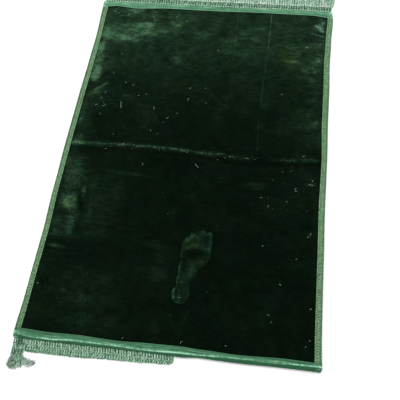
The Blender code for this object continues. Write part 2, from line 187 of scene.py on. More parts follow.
# The fold crease: x, y of its crest, height of its crest (mm).
CREASE = (
    (-385, 5.0, 1.3), (-200, 10.0, 1.5), (-60, 8.5, 1.45), (50, 1.5, 1.35), (175, -10.0, 1.1),
    (250, -4.0, 0.6), (385, 5.0, 0.8),
)
CREST_REACH = 6 * MM
# How its line and its height stray: height, width (mm), seed.
CREST_STRAYS, CREST_UNEVEN = ((1.3, 22, 3),), ((0.35, 30, 4),)
TROUGH_OFFSET = 14 * MM
TROUGH_REACH = 8 * MM
TROUGH_SHARE = 0.6
# Painted shade: a darker band just below the crease's crest, on its near side.
CREASE_PAINTED_SHADE, SHADE_OFFSET, SHADE_REACH = 0.10, 17 * MM, 9 * MM
# A painted highlight on its crest, as a thin line and a wide band, less on the right.
CREST_LIGHT_OFFSET, CREST_LIGHT_STRAYS = 3.5 * MM, ((2.0, 22, 3),)
LINE_OFFSET = 1.0 * MM
LINE_LIGHT, LINE_REACH, BAND_LIGHT, BAND_REACH = 0.6, 2.2 * MM, 1.2, 8.0 * MM
LINE_GAP_PLACE, LINE_GAP_REACH, LINE_GAP_DEPTH = 0.205, 0.03, 0.85
LINE_FADES, LINE_FADING = (0.05, 0.2), 0.35
LINE_SHOWN, LINE_SWELLS = 0.85, ((0.4, 16, 6, 24),)
BAND_SHOWN, BAND_SWELLS = 0.75, ((0.45, 13, 6, 27),)
# Swells of the pile: height, width, depth (mm), seed.
PILE_SWELLS = ((0.30, 210, 170, 5), (0.16, 60, 50, 6), (0.10, 17, 12, 7), (0.09, 7, 9, 8))

# Soft folds and dents of the pile: x, y, half length, half width (mm), turn (degrees),
# height (mm).
SOFT_FOLDS = (
    (-190, -92, 75, 5, 2, 0.45), (185, -96, 45, 5, -4, 0.40), (-335, -309, 48, 4, 3, 0.75),
    (-350, -340, 34, 4, 6, 0.65), (-352, -352, 24, 3, -14, 0.45), (-30, 270, 190, 7, -44, 0.35),
    (-145, 372, 34, 4, -58, 0.55), (-368, 572, 12, 7, 20, 0.8), (-300, 566, 30, 6, -4, 0.6),
    (362, 528, 16, 4, -46, 0.9), (352, 512, 18, 4, -40, 0.6), (370, 498, 14, 3, -12, 0.5),
    (-355, 205, 26, 4, 40, 0.6), (-352, 228, 20, 3, 12, 0.5), (-318, -188, 22, 4, 74, -0.5),
    (-305, -214, 20, 4, 66, -0.45), (-345, -258, 24, 4, 20, 0.4), (352, 232, 24, 3, -8, 0.4),
    (350, 262, 20, 3, 8, 0.35), (-300, 412, 80, 4, 2, -0.5), (-250, 448, 110, 30, 4, 0.5),
    (80, -30, 210, 60, 0, -0.3), (180, 420, 110, 40, 8, 0.35), (-180, -500, 130, 50, 6, 0.3),
)

# Tone of the pile at the near end, the painted sheen that the far end and the left side add
# to it, and from where to where (m); then its swells.
NEAR_TONE = 0.085
FAR_SHEEN, FAR_SHEEN_REACH = 0.36, (-0.04, 0.56)
LEFT_SHEEN, LEFT_SHEEN_REACH = 0.05, (0.0, 0.36)
TONE_SWELLS = ((0.035, 50, 40, 25), (0.035, 18, 12, 26))
AREA_SWELLS = ((0.30, 28, 20, 21), (0.2, 11, 9, 22))  # of the outline of its areas
PARTED_SHOWN, PARTED_SWELLS = 0.7, ((0.5, 12, 12, 23),)
# Brushed and laid areas of the pile: x, y, half length, half width (mm), turn
# (degrees), change of tone, firmness of the area's edge.
BRUSHED_AREAS = (
    (-300, -255, 76, 24, 0, 0.09, 1.5), (-350, 45, 30, 40, 0, 0.11, 1.5),
    (304, 98, 60, 80, 0, 0.13, 1.5), (-250, -4, 150, 14, 0, 0.07, 1.5),
    (362, 150, 46, 270, 0, 0.08, 1.2), (358, 108, 24, 46, 0, 0.09, 1.5),
    (332, 345, 56, 62, 0, 0.10, 1.5), (-364, 190, 32, 240, 0, 0.09, 1.3),
    (-360, 74, 26, 52, 0, 0.10, 1.5), (-348, -205, 44, 140, 0, 0.20, 1.5),
    (-284, -216, 60, 96, 0, 0.09, 1.5), (-320, -112, 80, 30, 0, 0.06, 1.5),
    (-150, 548, 120, 24, 0, 0.14, 1.5), (-335, 545, 56, 26, 0, 0.08, 1.5),
    (362, 548, 24, 20, 0, 0.14, 1.5), (-106, 500, 30, 26, 0, 0.10, 1.5),
    (196, 410, 44, 64, 0, 0.09, 1.5), (96, 392, 52, 24, 0, 0.09, 1.5),
    (324, 434, 40, 28, 0, 0.10, 1.5), (-98, 346, 34, 24, 0, 0.08, 1.5),
    (-330, 350, 56, 66, 0, 0.09, 1.5), (-240, 262, 66, 44, 0, -0.05, 1.5),
    (-205, -520, 160, 64, 0, 0.08, 1.5), (-30, -400, 44, 70, 0, 0.08, 1.5),
    (-130, -420, 66, 34, 0, 0.06, 1.5), (-270, -440, 70, 60, 0, 0.05, 1.5),
    (300, -140, 70, 110, 0, 0.07, 1.5), (-50, -330, 60, 30, 0, 0.06, 1.5),
    (-280, 462, 100, 50, 3, 0.25, 3.0), (-225, 498, 50, 12, 8, 0.30, 1.2),
    (-292, 434, 18, 12, 0, 0.34, 1.5), (-362, 470, 14, 34, 0, 0.26, 1.2),
    (-345, 440, 34, 16, 0, 0.16, 1.5), (-366, 396, 14, 22, 0, 0.46, 1.5),
    (-185, 470, 70, 22, 8, 0.14, 2.0), (-122, 505, 36, 18, 20, 0.16, 1.0),
    (-280, 564, 34, 8, 0, 0.30, 1.2), (-347, 541, 28, 26, 0, -0.08, 3.0),
    (-236, 560, 16, 8, 0, -0.12, 1.5), (-172, 541, 20, 20, 0, -0.10, 2.5),
    (-176, 560, 18, 9, 0, -0.14, 1.4), (-205, 545, 14, 14, 20, 0.14, 1.0),
    (-30, 522, 32, 22, 0, -0.08, 2.0), (-28, 460, 18, 20, -50, 0.18, 1.5),
    (-95, 395, 50, 40, 0, 0.05, 3.0), (-312, 376, 28, 36, 0, -0.08, 2.0),
    (-100, 353, 18, 8, -36, 0.26, 1.2), (-131, 341, 28, 5, -42, -0.12, 1.5),
    (-45, 296, 44, 6, -32, -0.10, 1.5), (-200, 340, 48, 48, 0, 0.04, 3.0),
    (-366, 340, 14, 70, 4, 0.30, 2.0), (-362, 268, 22, 26, -8, 0.46, 2.0),
    (-340, 262, 34, 5, 52, -0.20, 1.5), (-336, 222, 32, 5, 40, 0.30, 1.5),
    (-350, 195, 20, 12, 20, 0.22, 1.2), (-372, 150, 10, 30, 0, 0.22, 1.0),
    (-372, 92, 10, 20, 0, 0.36, 1.0), (-310, 86, 20, 26, 0, -0.06, 3.0),
    (-170, 120, 44, 80, 0, 0.05, 2.0), (-242, 190, 8, 10, 0, 0.20, 1.0),
    (-362, 14, 22, 18, 0, 0.26, 1.2), (-372, -40, 12, 40, 0, 0.18, 1.0),
    (-330, -60, 60, 26, 0, 0.08, 2.0), (-350, -120, 30, 60, 0, 0.22, 1.6),
    (-346, -200, 28, 26, -20, 0.38, 1.6), (-308, -205, 8, 34, 18, -0.26, 1.5),
    (-306, -158, 5, 24, 4, 0.32, 1.2), (-278, -210, 7, 34, 6, 0.22, 1.5),
    (-352, -235, 14, 20, 10, -0.16, 1.2), (-325, -274, 16, 32, 0, 0.16, 2.0),
    (-318, -298, 14, 7, 0, 0.28, 1.0), (-365, -275, 14, 24, 0, 0.16, 1.0),
    (-232, -180, 56, 78, 0, 0.13, 2.0), (-240, -296, 46, 17, 4, 0.15, 2.0),
    (-76, -310, 32, 14, 0, 0.12, 3.0), (-190, -93, 64, 7, -3, 0.17, 1.5),
    (-300, -330, 120, 10, 0, -0.06, 2.0), (-350, -342, 28, 6, -6, 0.30, 1.2),
    (-330, -352, 40, 5, 0, -0.12, 1.2), (-320, -380, 30, 20, 0, -0.05, 3.0),
    (-195, -430, 22, 17, 0, 0.12, 1.5), (-262, -405, 8, 9, 0, 0.12, 1.0),
    (-230, -430, 80, 50, 0, 0.05, 2.0), (-298, -468, 8, 7, 0, 0.16, 1.0),
    (-230, -490, 48, 16, 0, 0.14, 2.0), (-245, -488, 9, 14, 0, 0.10, 1.2),
    (-232, -542, 30, 20, 0, 0.12, 1.2), (-160, -542, 20, 18, 0, 0.10, 1.2),
    (-44, -398, 24, 18, 0, 0.13, 2.0), (-110, -385, 40, 24, 0, 0.06, 2.0),
    (-30, -545, 18, 16, 0, 0.06, 2.0), (-345, -540, 20, 26, 0, 0.08, 1.2),
    (-374, -450, 8, 120, 0, 0.10, 1.0), (-31, -205, 11, 16, 0, 0.14, 1.0),
    (-53, -88, 7, 8, 0, 0.12, 1.0), (62, 446, 34, 13, 10, 0.18, 1.5),
    (100, 484, 14, 12, 20, 0.16, 1.0), (150, 458, 22, 11, -14, 0.20, 1.2),
    (158, 505, 28, 6, 12, 0.18, 1.2), (60, 410, 26, 26, 0, 0.12, 2.0),
    (118, 398, 30, 22, -14, 0.06, 3.0), (270, 400, 32, 50, 0, 0.17, 2.0),
    (286, 371, 24, 4, -10, 0.26, 1.2), (322, 436, 9, 8, 0, 0.32, 1.0),
    (335, 352, 34, 24, -20, 0.14, 1.0), (317, 337, 10, 5, 0, 0.28, 1.0),
    (362, 384, 20, 28, -30, 0.20, 1.0), (342, 299, 9, 6, 0, 0.24, 1.0),
    (320, 322, 30, 4, 0, -0.12, 1.0), (310, 530, 34, 10, 0, -0.08, 2.5),
    (326, 472, 16, 18, 0, -0.10, 2.5), (364, 520, 20, 12, -40, 0.30, 1.2),
    (371, 546, 8, 12, 0, 0.34, 1.0), (366, 497, 16, 5, -14, -0.22, 1.2),
    (357, 490, 24, 3, -10, 0.26, 1.0), (302, 560, 24, 14, -20, 0.14, 1.0),
    (368, 450, 14, 20, 0, 0.14, 1.0), (342, 250, 22, 9, 0, 0.16, 1.0),
    (347, 219, 24, 8, 0, 0.18, 1.0), (293, 223, 11, 9, 0, 0.14, 1.0),
    (330, 170, 40, 14, 6, 0.10, 1.2), (358, 132, 12, 12, -50, 0.30, 1.0),
    (372, 80, 10, 30, 0, 0.16, 1.0), (204, 186, 15, 16, 0, 0.12, 1.2),
    (82, 203, 7, 6, 0, 0.13, 1.0), (96, 219, 7, 7, 0, 0.13, 1.0),
    (38, 226, 20, 5, -44, -0.09, 1.2), (190, 24, 6, 8, 0, 0.16, 1.0),
    (187, -99, 32, 13, -4, 0.18, 2.0), (94, -82, 12, 4, -12, 0.16, 1.0),
    (240, -186, 28, 18, 0, 0.08, 2.0), (352, -82, 16, 5, 4, 0.28, 1.0),
    (350, -52, 26, 22, 0, 0.08, 1.0), (305, -125, 10, 7, 0, 0.14, 1.0),
    (370, -240, 8, 120, 0, 0.12, 1.0), (356, -240, 10, 9, 0, 0.14, 1.0),
    (320, -330, 40, 16, 0, 0.05, 2.0), (336, -530, 10, 9, 0, 0.10, 1.0),
    (256, -496, 24, 24, 0, 0.08, 1.0), (44, -508, 4, 18, -18, 0.14, 1.2),
    (24, -546, 16, 5, -20, 0.08, 1.0),
)
# Thin light lines where the pile is parted: ends x, y and x, y, half width (mm), tone.
PARTED_LINES = (
    (-106, 345, 10, 250, 3.0, 0.05), (10, 250, 44, 199, 3.0, 0.06), (44, 199, 104, 155, 2.6, 0.16),
    (-380, -306, -282, -313, 2.6, 0.22), (-372, -343, -322, -346, 2.4, 0.16),
    (-249, -84, -125, -98, 2.4, 0.10), (-360, 201, -313, 241, 2.6, 0.22),
    (-373, 183, -333, 210, 2.6, 0.20), (-318, 172, -298, 150, 2.2, 0.26),
    (-330, 152, -316, 138, 2.2, 0.20), (-334, 176, -318, 182, 2.2, 0.20),
    (-205, 205, -202, 178, 2.2, 0.14), (-252, 215, -247, 180, 2.2, 0.12),
    (336, 500, 378, 484, 2.2, 0.30), (347, 396, 366, 384, 2.4, 0.28),
    (352, 384, 374, 370, 2.4, 0.26), (340, 376, 352, 366, 2.4, 0.22),
    (350, 412, 362, 404, 2.2, 0.24), (346, 350, 350, 330, 2.4, 0.26),
    (-365, -180, -345, -218, 3.0, 0.26), (-352, -195, -336, -225, 2.6, 0.22),
    (-318, -147, -300, -150, 2.4, 0.2), (-338, -252, -314, -252, 2.0, 0.16),
    (-338, -262, -312, -262, 2.0, 0.16), (-338, -272, -314, -272, 2.0, 0.16),
    (-340, -282, -316, -283, 2.0, 0.18), (-128, 360, -100, 334, 3.0, 0.14),
    (133, 508, 178, 503, 2.0, 0.12), (196, 404, 214, 404, 1.8, 0.12),
    (196, 394, 216, 394, 1.8, 0.12), (196, 384, 214, 383, 1.8, 0.12),
    (-310, -96, -292, -100, 2.2, 0.12), (184, -138, 187, -160, 1.8, 0.12),
    (208, -86, 232, -92, 2.0, 0.10), (347, 532, 372, 507, 3.6, 1.25),
    (357, 538, 375, 521, 2.8, 0.80), (340, 521, 352, 512, 2.0, 0.25),
    (334, 539, 346, 531, 2.0, 0.22), (-352, 552, -300, 556, 1.8, 0.16),
    (-330, 536, -288, 531, 1.8, 0.16), (-286, 548, -262, 552, 1.8, 0.18),
    (-366, 530, -340, 522, 1.8, 0.18),
)
# Where short strokes of the brush show: x, y, half length, half width (mm), turn, how
# strongly, and whether they run across the rug (0) or down it (1).
STROKED_AREAS = (
    (-270, 460, 120, 60, 4, 0.9, 0), (-230, 556, 150, 24, 0, 1.2, 0),
    (-120, 500, 60, 34, 0, 0.8, 0), (-170, 550, 40, 26, 0, 1.0, 1), (-330, 546, 60, 26, 0, 1.0, 0),
    (330, 440, 70, 150, 0, 0.8, 0), (336, 220, 60, 90, 0, 0.8, 0), (-328, -270, 30, 40, 0, 1.0, 0),
    (-350, -60, 50, 50, 0, 0.8, 0), (-360, 340, 30, 100, 0, 0.6, 0), (60, 440, 120, 90, 0, 0.5, 0),
    (-230, -200, 70, 90, 0, 0.4, 0), (-346, -150, 44, 90, 0, 0.8, 1),
    (-285, -190, 24, 60, 8, 0.9, 1), (-220, -520, 90, 60, 0, 0.6, 1),
    (-170, 120, 70, 100, 0, 0.5, 1), (-340, 190, 50, 70, 0, 0.6, 1),
    (-360, 340, 30, 100, 0, 0.5, 1), (-240, 470, 110, 50, 0, 0.4, 1),
    (-355, -480, 26, 110, 0, 0.5, 1),
)
STROKES_ELSEWHERE = 0.12
# Threads of the ground that show through between the tufts: x, y of their ends, tone.
BARE_LINES = (
    ((197, 572), (195, 420), 0.46), ((195, 420), (190, 300), 0.34),
    ((190, 300), (187, 190), 0.36), ((186, 130), (190, 8), 0.28),
    ((83, 566), (82, 350), 0.22), ((-55, 470), (-54, 330), 0.12),
)
BARE_WIDTH = 2.1 * MM
BARE_BREAKS = 14.0  # how often such a thread is covered again, per metre
BARE_CONTRAST, BARE_MIDDLE, BARE_MOST = 3.4, 0.8, 1.4

# The sole of the foot: x, y, half width, half length of its parts (mm).
SOLE_PARTS = (
    (22, -446, 24, 27), (26, -408, 19, 40), (33, -372, 26, 34),
    (48, -330, 41, 40), (48, -302, 41, 27), (60, -292, 30, 31),
)
TOES = ((79, -272, 9.5, 14), (60, -265, 8, 12), (46, -269, 7.5, 11), (33, -275, 8.5, 12),
        (20, -287, 8.5, 12))
TOE_TURN = -8  # degrees
SOLE_DEPTH = 1.3 * MM
SOLE_SLOPE = 9.0  # how sharply the parts of the sole end
SOLE_WALL = (-0.02, 0.16)  # where the pile goes down, from 0 at the sole's edge inwards
SOLE_EDGE = (-0.03, 0.10)  # where its tone changes
SOLE_BANK, BANK_PLACE, BANK_REACH = 0.35 * MM, -0.07, 0.07
SOLE_TONE = 0.19
# A painted highlight as a light rim within the print, and a painted shadow as a darker rim around
# it: tone, place, reach.
PAINTED_SOLE_RIMS = ((0.16, 0.02, 0.05), (-0.06, -0.12, 0.08))
TRODDEN = 0.5  # how grainy the pile is within the print
# Light and dark within the print: x, y, half length, half width (mm), turn, tone.
SOLE_TONES = (
    (20, -312, 15, 7, 35, 0.20), (49, -303, 22, 7, 0, 0.20), (76, -310, 13, 8, -25, 0.20),
    (20, -287, 9, 6, 30, 0.42), (33, -274, 9, 6, 35, 0.34), (59, -261, 10, 5, 0, 0.24),
    (48, -276, 5, 7, 0, 0.16), (80, -263, 7, 4, 0, 0.46), (86, -281, 4, 20, 0, 0.28),
    (85, -306, 4, 14, 0, 0.20), (72, -285, 3, 14, 8, -0.22), (42, -286, 4, 8, 10, -0.14),
    (29, -298, 8, 4, 20, -0.14), (57, -289, 5, 5, 0, -0.08), (42, -328, 27, 12, 3, -0.36),
    (18, -346, 8, 5, 0, -0.24), (50, -353, 26, 6, 6, 0.10), (68, -348, 12, 7, 20, 0.10),
    (43, -376, 9, 14, -10, 0.34), (42, -394, 4, 5, 0, 0.16), (28, -399, 12, 16, 0, 0.14),
    (22, -370, 9, 12, 0, -0.08), (7, -343, 2.8, 40, 0, 0.48), (8, -378, 2.8, 24, 0, 0.50),
    (6, -404, 3.4, 20, 8, 0.52), (1, -436, 3.8, 20, 5, 0.54), (5, -457, 5, 8, -35, 0.46),
    (10, -438, 3, 16, 3, -0.14), (20, -411, 3.5, 4, 0, 0.34), (17, -455, 4, 8, 0, 0.34),
    (22, -465, 6, 4, 0, 0.30), (45, -441, 3, 5, 0, 0.30), (30, -436, 12, 16, 0, 0.08),
    (55, -284, 32, 20, 0, 0.10), (46, -402, 22, 16, 0, -0.09),
)

# Tones of the pile from laid flat (0) to brushed up (1), with the colour of its fibre.
PILE_DARKEST = 0.0036
PILE_GROWTH = 3.5
PILE_TINT = np.array((0.40, 1.0, 0.51))
RELIEF_EDGE = (0.6 * MM, 9 * MM)  # from the tapes in, where the pile's relief begins
PILE_STOPS = 6
TONE_START, TONE_SPREAD = 0.55, 2.2  # how uneven the pile is, flat and per tone
# Unevenness of the pile: scale (per metre, or one for each axis), detail, amount. The
# second is its short strokes and the third its tufts, which also stand up.
PILE_TEXTURES = (
    (26.0, 5.0, 0.30), ((420.0, 110.0, 1.0), 3.0, 0.24), (900.0, 2.0, 0.30),
    ((38.0, 90.0, 1.0), 2.0, 0.30), ((150.0, 330.0, 1.0), 2.0, 0.34),
)
STROKE_STRENGTH = 0.85
STROKE_SCALES = (("stroked_across", (46.0, 300.0, 1.0)), ("stroked_down", (300.0, 46.0, 1.0)),
                 ("trodden", (150.0, 150.0, 1.0)))
SPECKLE_SCALE, SPECKLE_AMOUNT, SPECKLE_START = (240.0, 420.0, 1.0), 2.6, 0.36
STROKE_HEIGHT = 0.6  # of the strokes, for 1 of the tufts
HUE_SPREAD = 0.9  # how far the dye strays to red and to blue
RED_SCALE, BLUE_SCALE = 12.0, 9.0
BACK_THREADS = 260.0  # of the woven ground, seen from below
BACK_DARK = (0.020, 0.045, 0.028)
BACK_LIGHT = (0.090, 0.160, 0.105)


def soft_step(value, start, end):
    """Soft step from 0 at start to 1 at end."""
    t = np.clip((value - start) / (end - start), 0.0, 1.0)
    return t * t * (3.0 - 2.0 * t)


def hump(value, centre, reach):
    """Soft hump of height 1 at centre."""
    return np.exp(-(((value - centre) / reach) ** 2))


def read(table, place, column=1):
    """A column of a table in mm, read at places in metres and eased between its rows."""
    rows = np.array(table) * MM
    place = np.clip(place, rows[0, 0], rows[-1, 0])
    after = np.clip(np.searchsorted(rows[:, 0], place), 1, len(rows) - 1)
    share = soft_step(place, rows[after - 1, 0], rows[after, 0])
    return rows[after - 1, column] + (rows[after, column] - rows[after - 1, column]) * share


def swell(x, y, size_x, size_y, seed):
    """Even random swells between -1 and 1, about this wide and deep."""
    table = np.random.default_rng(seed).uniform(-1.0, 1.0, (64, 64))
    across = x / size_x + 1000.0
    along = y / size_y + 1000.0
    i = np.floor(across).astype(int)
    j = np.floor(along).astype(int)
    u = soft_step(across - i, 0.0, 1.0)
    v = soft_step(along - j, 0.0, 1.0)
    near = table[i % 64, j % 64] * (1 - u) + table[(i + 1) % 64, j % 64] * u
    far = table[i % 64, (j + 1) % 64] * (1 - u) + table[(i + 1) % 64, (j + 1) % 64] * u
    return near * (1 - v) + far * v


def strays(x, rows, seed=0):
    """Swells in one direction, added up: height, width (mm), seed."""
    return sum(height * swell(x, x * 0, width * MM, 1.0, seed + own_seed)
               for height, width, own_seed in rows)


def swells(x, y, rows, seed=0):
    """Swells of several sizes, added up: height, width and depth (mm), seed."""
    return sum(height * swell(x, y, width * MM, depth * MM, seed + own_seed)
               for height, width, depth, own_seed in rows)


def oval(x, y, centre_x, centre_y, reach_x, reach_y, turn):
    """Squared distance from an oval's middle; 1 is its edge. Sizes in mm, turn in degrees."""
    dx = x - centre_x * MM
    dy = y - centre_y * MM
    angle = math.radians(turn)
    along = dx * math.cos(angle) + dy * math.sin(angle)
    across = dy * math.cos(angle) - dx * math.sin(angle)
    return (along / (reach_x * MM)) ** 2 + (across / (reach_y * MM)) ** 2


def underside(x, y):
    """Height of the rug's underside: it rises where its own fringe is folded below it."""
    inward = y - read(NEAR_TAPE, x)
    left_share = 1.0 - soft_step(inward, *LEFT_SETTLE)
    right_share = 1.0 - soft_step(inward, *RIGHT_SETTLE)
    rightness = soft_step(x, -SETTLE_TURN, SETTLE_TURN)
    return TUCK_LIFT * (left_share + (right_share - left_share) * rightness)


def from_roll(x, y):
    """Distance of a point from the rolled edge of the nearer end tape."""
    return np.where(y < 0.0, y - read(NEAR_TAPE, x), read(FAR_TAPE, x) - y)


def end_y(x, end, share, added):
    """y of a line that runs along the near (-1) or far (+1) end tape."""
    table = NEAR_TAPE if end < 0 else FAR_TAPE
    roll = read(table, x)
    return roll - end * (share * np.abs(read(table, x, 2) - roll) + added * MM)


def side_x(y, side, share, added):
    """x of a line that runs along the left (-1) or right (+1) side tape."""
    table = LEFT_TAPE if side < 0 else RIGHT_TAPE
    outer = read(table, y)
    rise = CORNER_RADIUS - np.clip(from_roll(outer, y), 0.0, CORNER_RADIUS)
    inset = CORNER_RADIUS - np.sqrt(CORNER_RADIUS ** 2 - rise ** 2)
    width = np.abs(read(table, y, 2) - outer) - inset
    return outer - side * (inset + share * width + added * MM)


def spaced_shares(low, high, step, closer):
    """Shares from 0 to 1 of the way from low to high (mm), closer where more is seen."""
    ruler = np.linspace(low, high, 6000)
    gap = np.full(ruler.shape, step)
    for start, end, small in closer:
        within = soft_step(ruler, start - STEP_EASE, start)
        within = within * (1.0 - soft_step(ruler, end, end + STEP_EASE))
        gap = np.minimum(gap, step + (small - step) * within)
    count = np.concatenate([[0.0], np.cumsum((ruler[1:] - ruler[:-1]) / gap[1:])])
    places = np.interp(np.linspace(0.0, count[-1], int(count[-1]) + 1), count, ruler)
    return (places - low) / (high - low)


def sewn_lines(shares, margin, first_line, last_line):
    """Places of all the cloth's lines one way: first margin, open cloth, last margin."""
    lines = [first_line(row[0], row[1]) for row in margin]
    start = lines[-1]
    back = [last_line(row[0], row[1]) for row in reversed(margin)]
    end = back[0]
    lines += [start + (end - start) * share for share in shares[1:-1]]
    return np.array(lines + back)


def unit(vectors):
    """The same vectors, made 1 long."""
    return vectors / np.linalg.norm(vectors, axis=-1, keepdims=True)


def new_mesh(name, points, faces, sharp_angle, values):
    """A smooth mesh that keeps values for its points under their names."""
    mesh = bpy.data.meshes.new(name)
    mesh.from_pydata(points.tolist(), [], faces)
    for value_name, value in values.items():
        layer = mesh.attributes.new(value_name, "FLOAT", "POINT")
        layer.data.foreach_set("value", value.astype(np.float32))
    mesh.shade_smooth()
    mesh.set_sharp_from_angle(angle=math.radians(sharp_angle))
    return mesh


def closed_sheet(name, top, bottom, flat_part=None, **values):
    """A closed cloth between two grids of points, joined round their edges.

    flat_part gives the first and last row and column of a stretch of the bottom that
    is a single face. Each value is kept for every point under its own name.
    """
    rows, columns = top.shape[:2]
    upper = np.arange(rows * columns).reshape(rows, columns)
    lower = upper + rows * columns
    quads = np.stack([upper[:-1, :-1], upper[:-1, 1:], upper[1:, 1:], upper[1:, :-1]], 2)
    backs = np.stack([lower[:-1, :-1], lower[1:, :-1], lower[1:, 1:], lower[:-1, 1:]], 2)
    kept = np.ones(backs.shape[:2], bool)
    faces = quads.reshape(-1, 4).tolist()
    if flat_part:
        r0, r1, c0, c1 = flat_part
        kept[r0:r1, c0:c1] = False
        around = [*lower[r0:r1, c0], *lower[r1, c0:c1], *lower[r1:r0:-1, c1],
                  *lower[r0, c1:c0:-1]]
        faces.append([int(corner) for corner in around])
    faces += backs[kept].tolist()
    rim = [*upper[0, :-1], *upper[:-1, -1], *upper[-1, :0:-1], *upper[:0:-1, 0]]
    for here, after in zip(rim, rim[1:] + rim[:1]):
        below = rows * columns
        faces.append([int(after), int(here), int(here + below), int(after + below)])
    used = np.unique(np.concatenate(faces))
    place = np.full(2 * rows * columns, -1)
    place[used] = np.arange(len(used))
    points = np.concatenate([top.reshape(-1, 3), bottom.reshape(-1, 3)])[used]
    faces = [place[face].tolist() for face in faces]
    both = {key: np.concatenate([value.ravel()] * 2)[used] for key, value in values.items()}
    return new_mesh(name, points, faces, SHEET_SHARP, both)


def add_piece(name, mesh, finishes, slot, *nodes):
    """Put a finished mesh in the scene as a piece of the rug that stands for CAD nodes."""
    for finish in finishes:
        mesh.materials.append(finish)
    piece = bpy.data.objects.new(name, mesh)
    bpy.context.scene.collection.objects.link(piece)
    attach(piece, "root")
    if nodes:
        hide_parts(*nodes)
    return piece


def sole_depth(x, y):
    """How far inside the pressed sole a point is, from below 0 outside to about 1."""
    parts = [1.0 - np.sqrt(oval(x, y, *part, 0)) for part in SOLE_PARTS]
    toes = [1.0 - np.sqrt(oval(x, y, *toe, TOE_TURN)) for toe in TOES]
    total = sum(np.exp(SOLE_SLOPE * np.clip(part, -3, 1)) for part in parts + toes)
    return np.log(total) / SOLE_SLOPE


def pile_relief(x, y):
    """Height of the creases, dents and swells of the pile."""
    crest = read(CREASE, x) + MM * strays(x, CREST_STRAYS)
    strength = 1.0 + strays(x, CREST_UNEVEN)
    ridge = hump(y, crest, CREST_REACH)
    trough = hump(y, crest - TROUGH_OFFSET, TROUGH_REACH)
    height = read(CREASE, x, 2) * (ridge * strength - TROUGH_SHARE * trough)
    for fold_x, fold_y, length, width, turn, rise in SOFT_FOLDS:
        height += rise * MM * np.exp(-oval(x, y, fold_x, fold_y, length, width, turn))
    sole = sole_depth(x, y)
    height -= SOLE_DEPTH * soft_step(sole, *SOLE_WALL)
    height += SOLE_BANK * hump(sole, BANK_PLACE, BANK_REACH)
    return height + MM * swells(x, y, PILE_SWELLS)


def pile_tone(x, y):
    """How light the pile looks: 0 laid flat, 1 brushed up; with painted sheen towards the far end
    and the left side, painted shade below the crease and a painted highlight and shadow round the
    sole's rim.
    """
    tone = NEAR_TONE + FAR_SHEEN * soft_step(y, *FAR_SHEEN_REACH)
    tone += LEFT_SHEEN * soft_step(-x, *LEFT_SHEEN_REACH)
    wander = 1.0 + swells(x, y, AREA_SWELLS)
    for area_x, area_y, length, width, turn, change, firmness in BRUSHED_AREAS:
        shape = oval(x, y, area_x, area_y, length, width, turn) * wander
        tone += change * np.exp(-(shape ** firmness))
    broken = PARTED_SHOWN + swells(x, y, PARTED_SWELLS)
    for x0, y0, x1, y1, reach, change in PARTED_LINES:
        start = np.array((x0, y0)) * MM
        way = np.array((x1 - x0, y1 - y0)) * MM
        along = ((x - start[0]) * way[0] + (y - start[1]) * way[1]) / (way @ way)
        nearest = np.clip(along, 0.0, 1.0)
        gap = np.hypot(x - start[0] - nearest * way[0], y - start[1] - nearest * way[1])
        tone += change * broken * hump(gap, 0.0, reach * MM)
    # painted shade below the crease, on its near side
    tone -= CREASE_PAINTED_SHADE * hump(y, read(CREASE, x) - SHADE_OFFSET, SHADE_REACH)
    sole = sole_depth(x, y)
    inside = soft_step(sole, *SOLE_EDGE)
    tone += SOLE_TONE * inside
    # painted highlight on a rim within the print and painted shadow round it
    for change, place, reach in PAINTED_SOLE_RIMS:
        tone += change * hump(sole, place, reach)
    for area_x, area_y, length, width, turn, change in SOLE_TONES:
        tone += change * inside * np.exp(-oval(x, y, area_x, area_y, length, width, turn))
    return np.clip(tone + swells(x, y, TONE_SWELLS), 0.0, 1.0)


def crest_light(x, y):
    """How strongly the painted highlight on the crest of the fold shows."""
    crest = read(CREASE, x) - CREST_LIGHT_OFFSET + MM * strays(x, CREST_LIGHT_STRAYS)
    shown = 1.0 - LINE_GAP_DEPTH * hump(x, LINE_GAP_PLACE, LINE_GAP_REACH)
    shown = shown - LINE_FADING * soft_step(x, *LINE_FADES)
    shown = shown * (LINE_SHOWN + swells(x, y, LINE_SWELLS))
    line = LINE_LIGHT * hump(y, crest + LINE_OFFSET, LINE_REACH)
    band = BAND_LIGHT * hump(y, crest, BAND_REACH) * (BAND_SHOWN + swells(x, y, BAND_SWELLS))
    return shown * (line + band)


def strokes_shown(x, y, way):
    """How strongly the brush's strokes show that run across (0) or down (1)."""
    shown = np.full(x.shape, STROKES_ELSEWHERE)
    for area_x, area_y, length, width, turn, strength, area_way in STROKED_AREAS:
        if area_way == way:
            shown += strength * np.exp(-oval(x, y, area_x, area_y, length, width, turn) ** 2)
    return shown


def cloth_crossings():
    """x and y of every crossing of the cloth's lines."""
    row_shares = spaced_shares(*ROWS_BETWEEN, ROW_STEP, CLOSER_ROWS)
    column_shares = spaced_shares(*COLUMNS_BETWEEN, COLUMN_STEP, CLOSER_COLUMNS)

    def x_lines(y):
        return sewn_lines(column_shares, SIDE_MARGIN,
                          lambda share, added: side_x(y, -1, share, added),
                          lambda share, added: side_x(y, 1, share, added))

    def y_lines(x):
        return sewn_lines(row_shares, END_MARGIN,
                          lambda share, added: end_y(x, -1, share, added),
                          lambda share, added: end_y(x, 1, share, added))

    x = x_lines(np.array(0.0))[None, :]
    y = y_lines(x[0])
    for _ in range(2):
        columns = range(y.shape[1])
        x = np.stack([x_lines(y[:, column])[column] for column in columns], 1)
        rows = range(y.shape[0])
        y = np.stack([y_lines(x[row])[row] for row in rows], 0)
    return x, y


def line_heights(count, margin, column, open_height):
    """A margin column (mm) for each line: first margin, open cloth, last margin."""
    heights = np.full(count, open_height)
    edge = [row[column] * MM for row in margin]
    heights[:len(edge)] = edge
    heights[-len(edge):] = edge[::-1]
    return heights


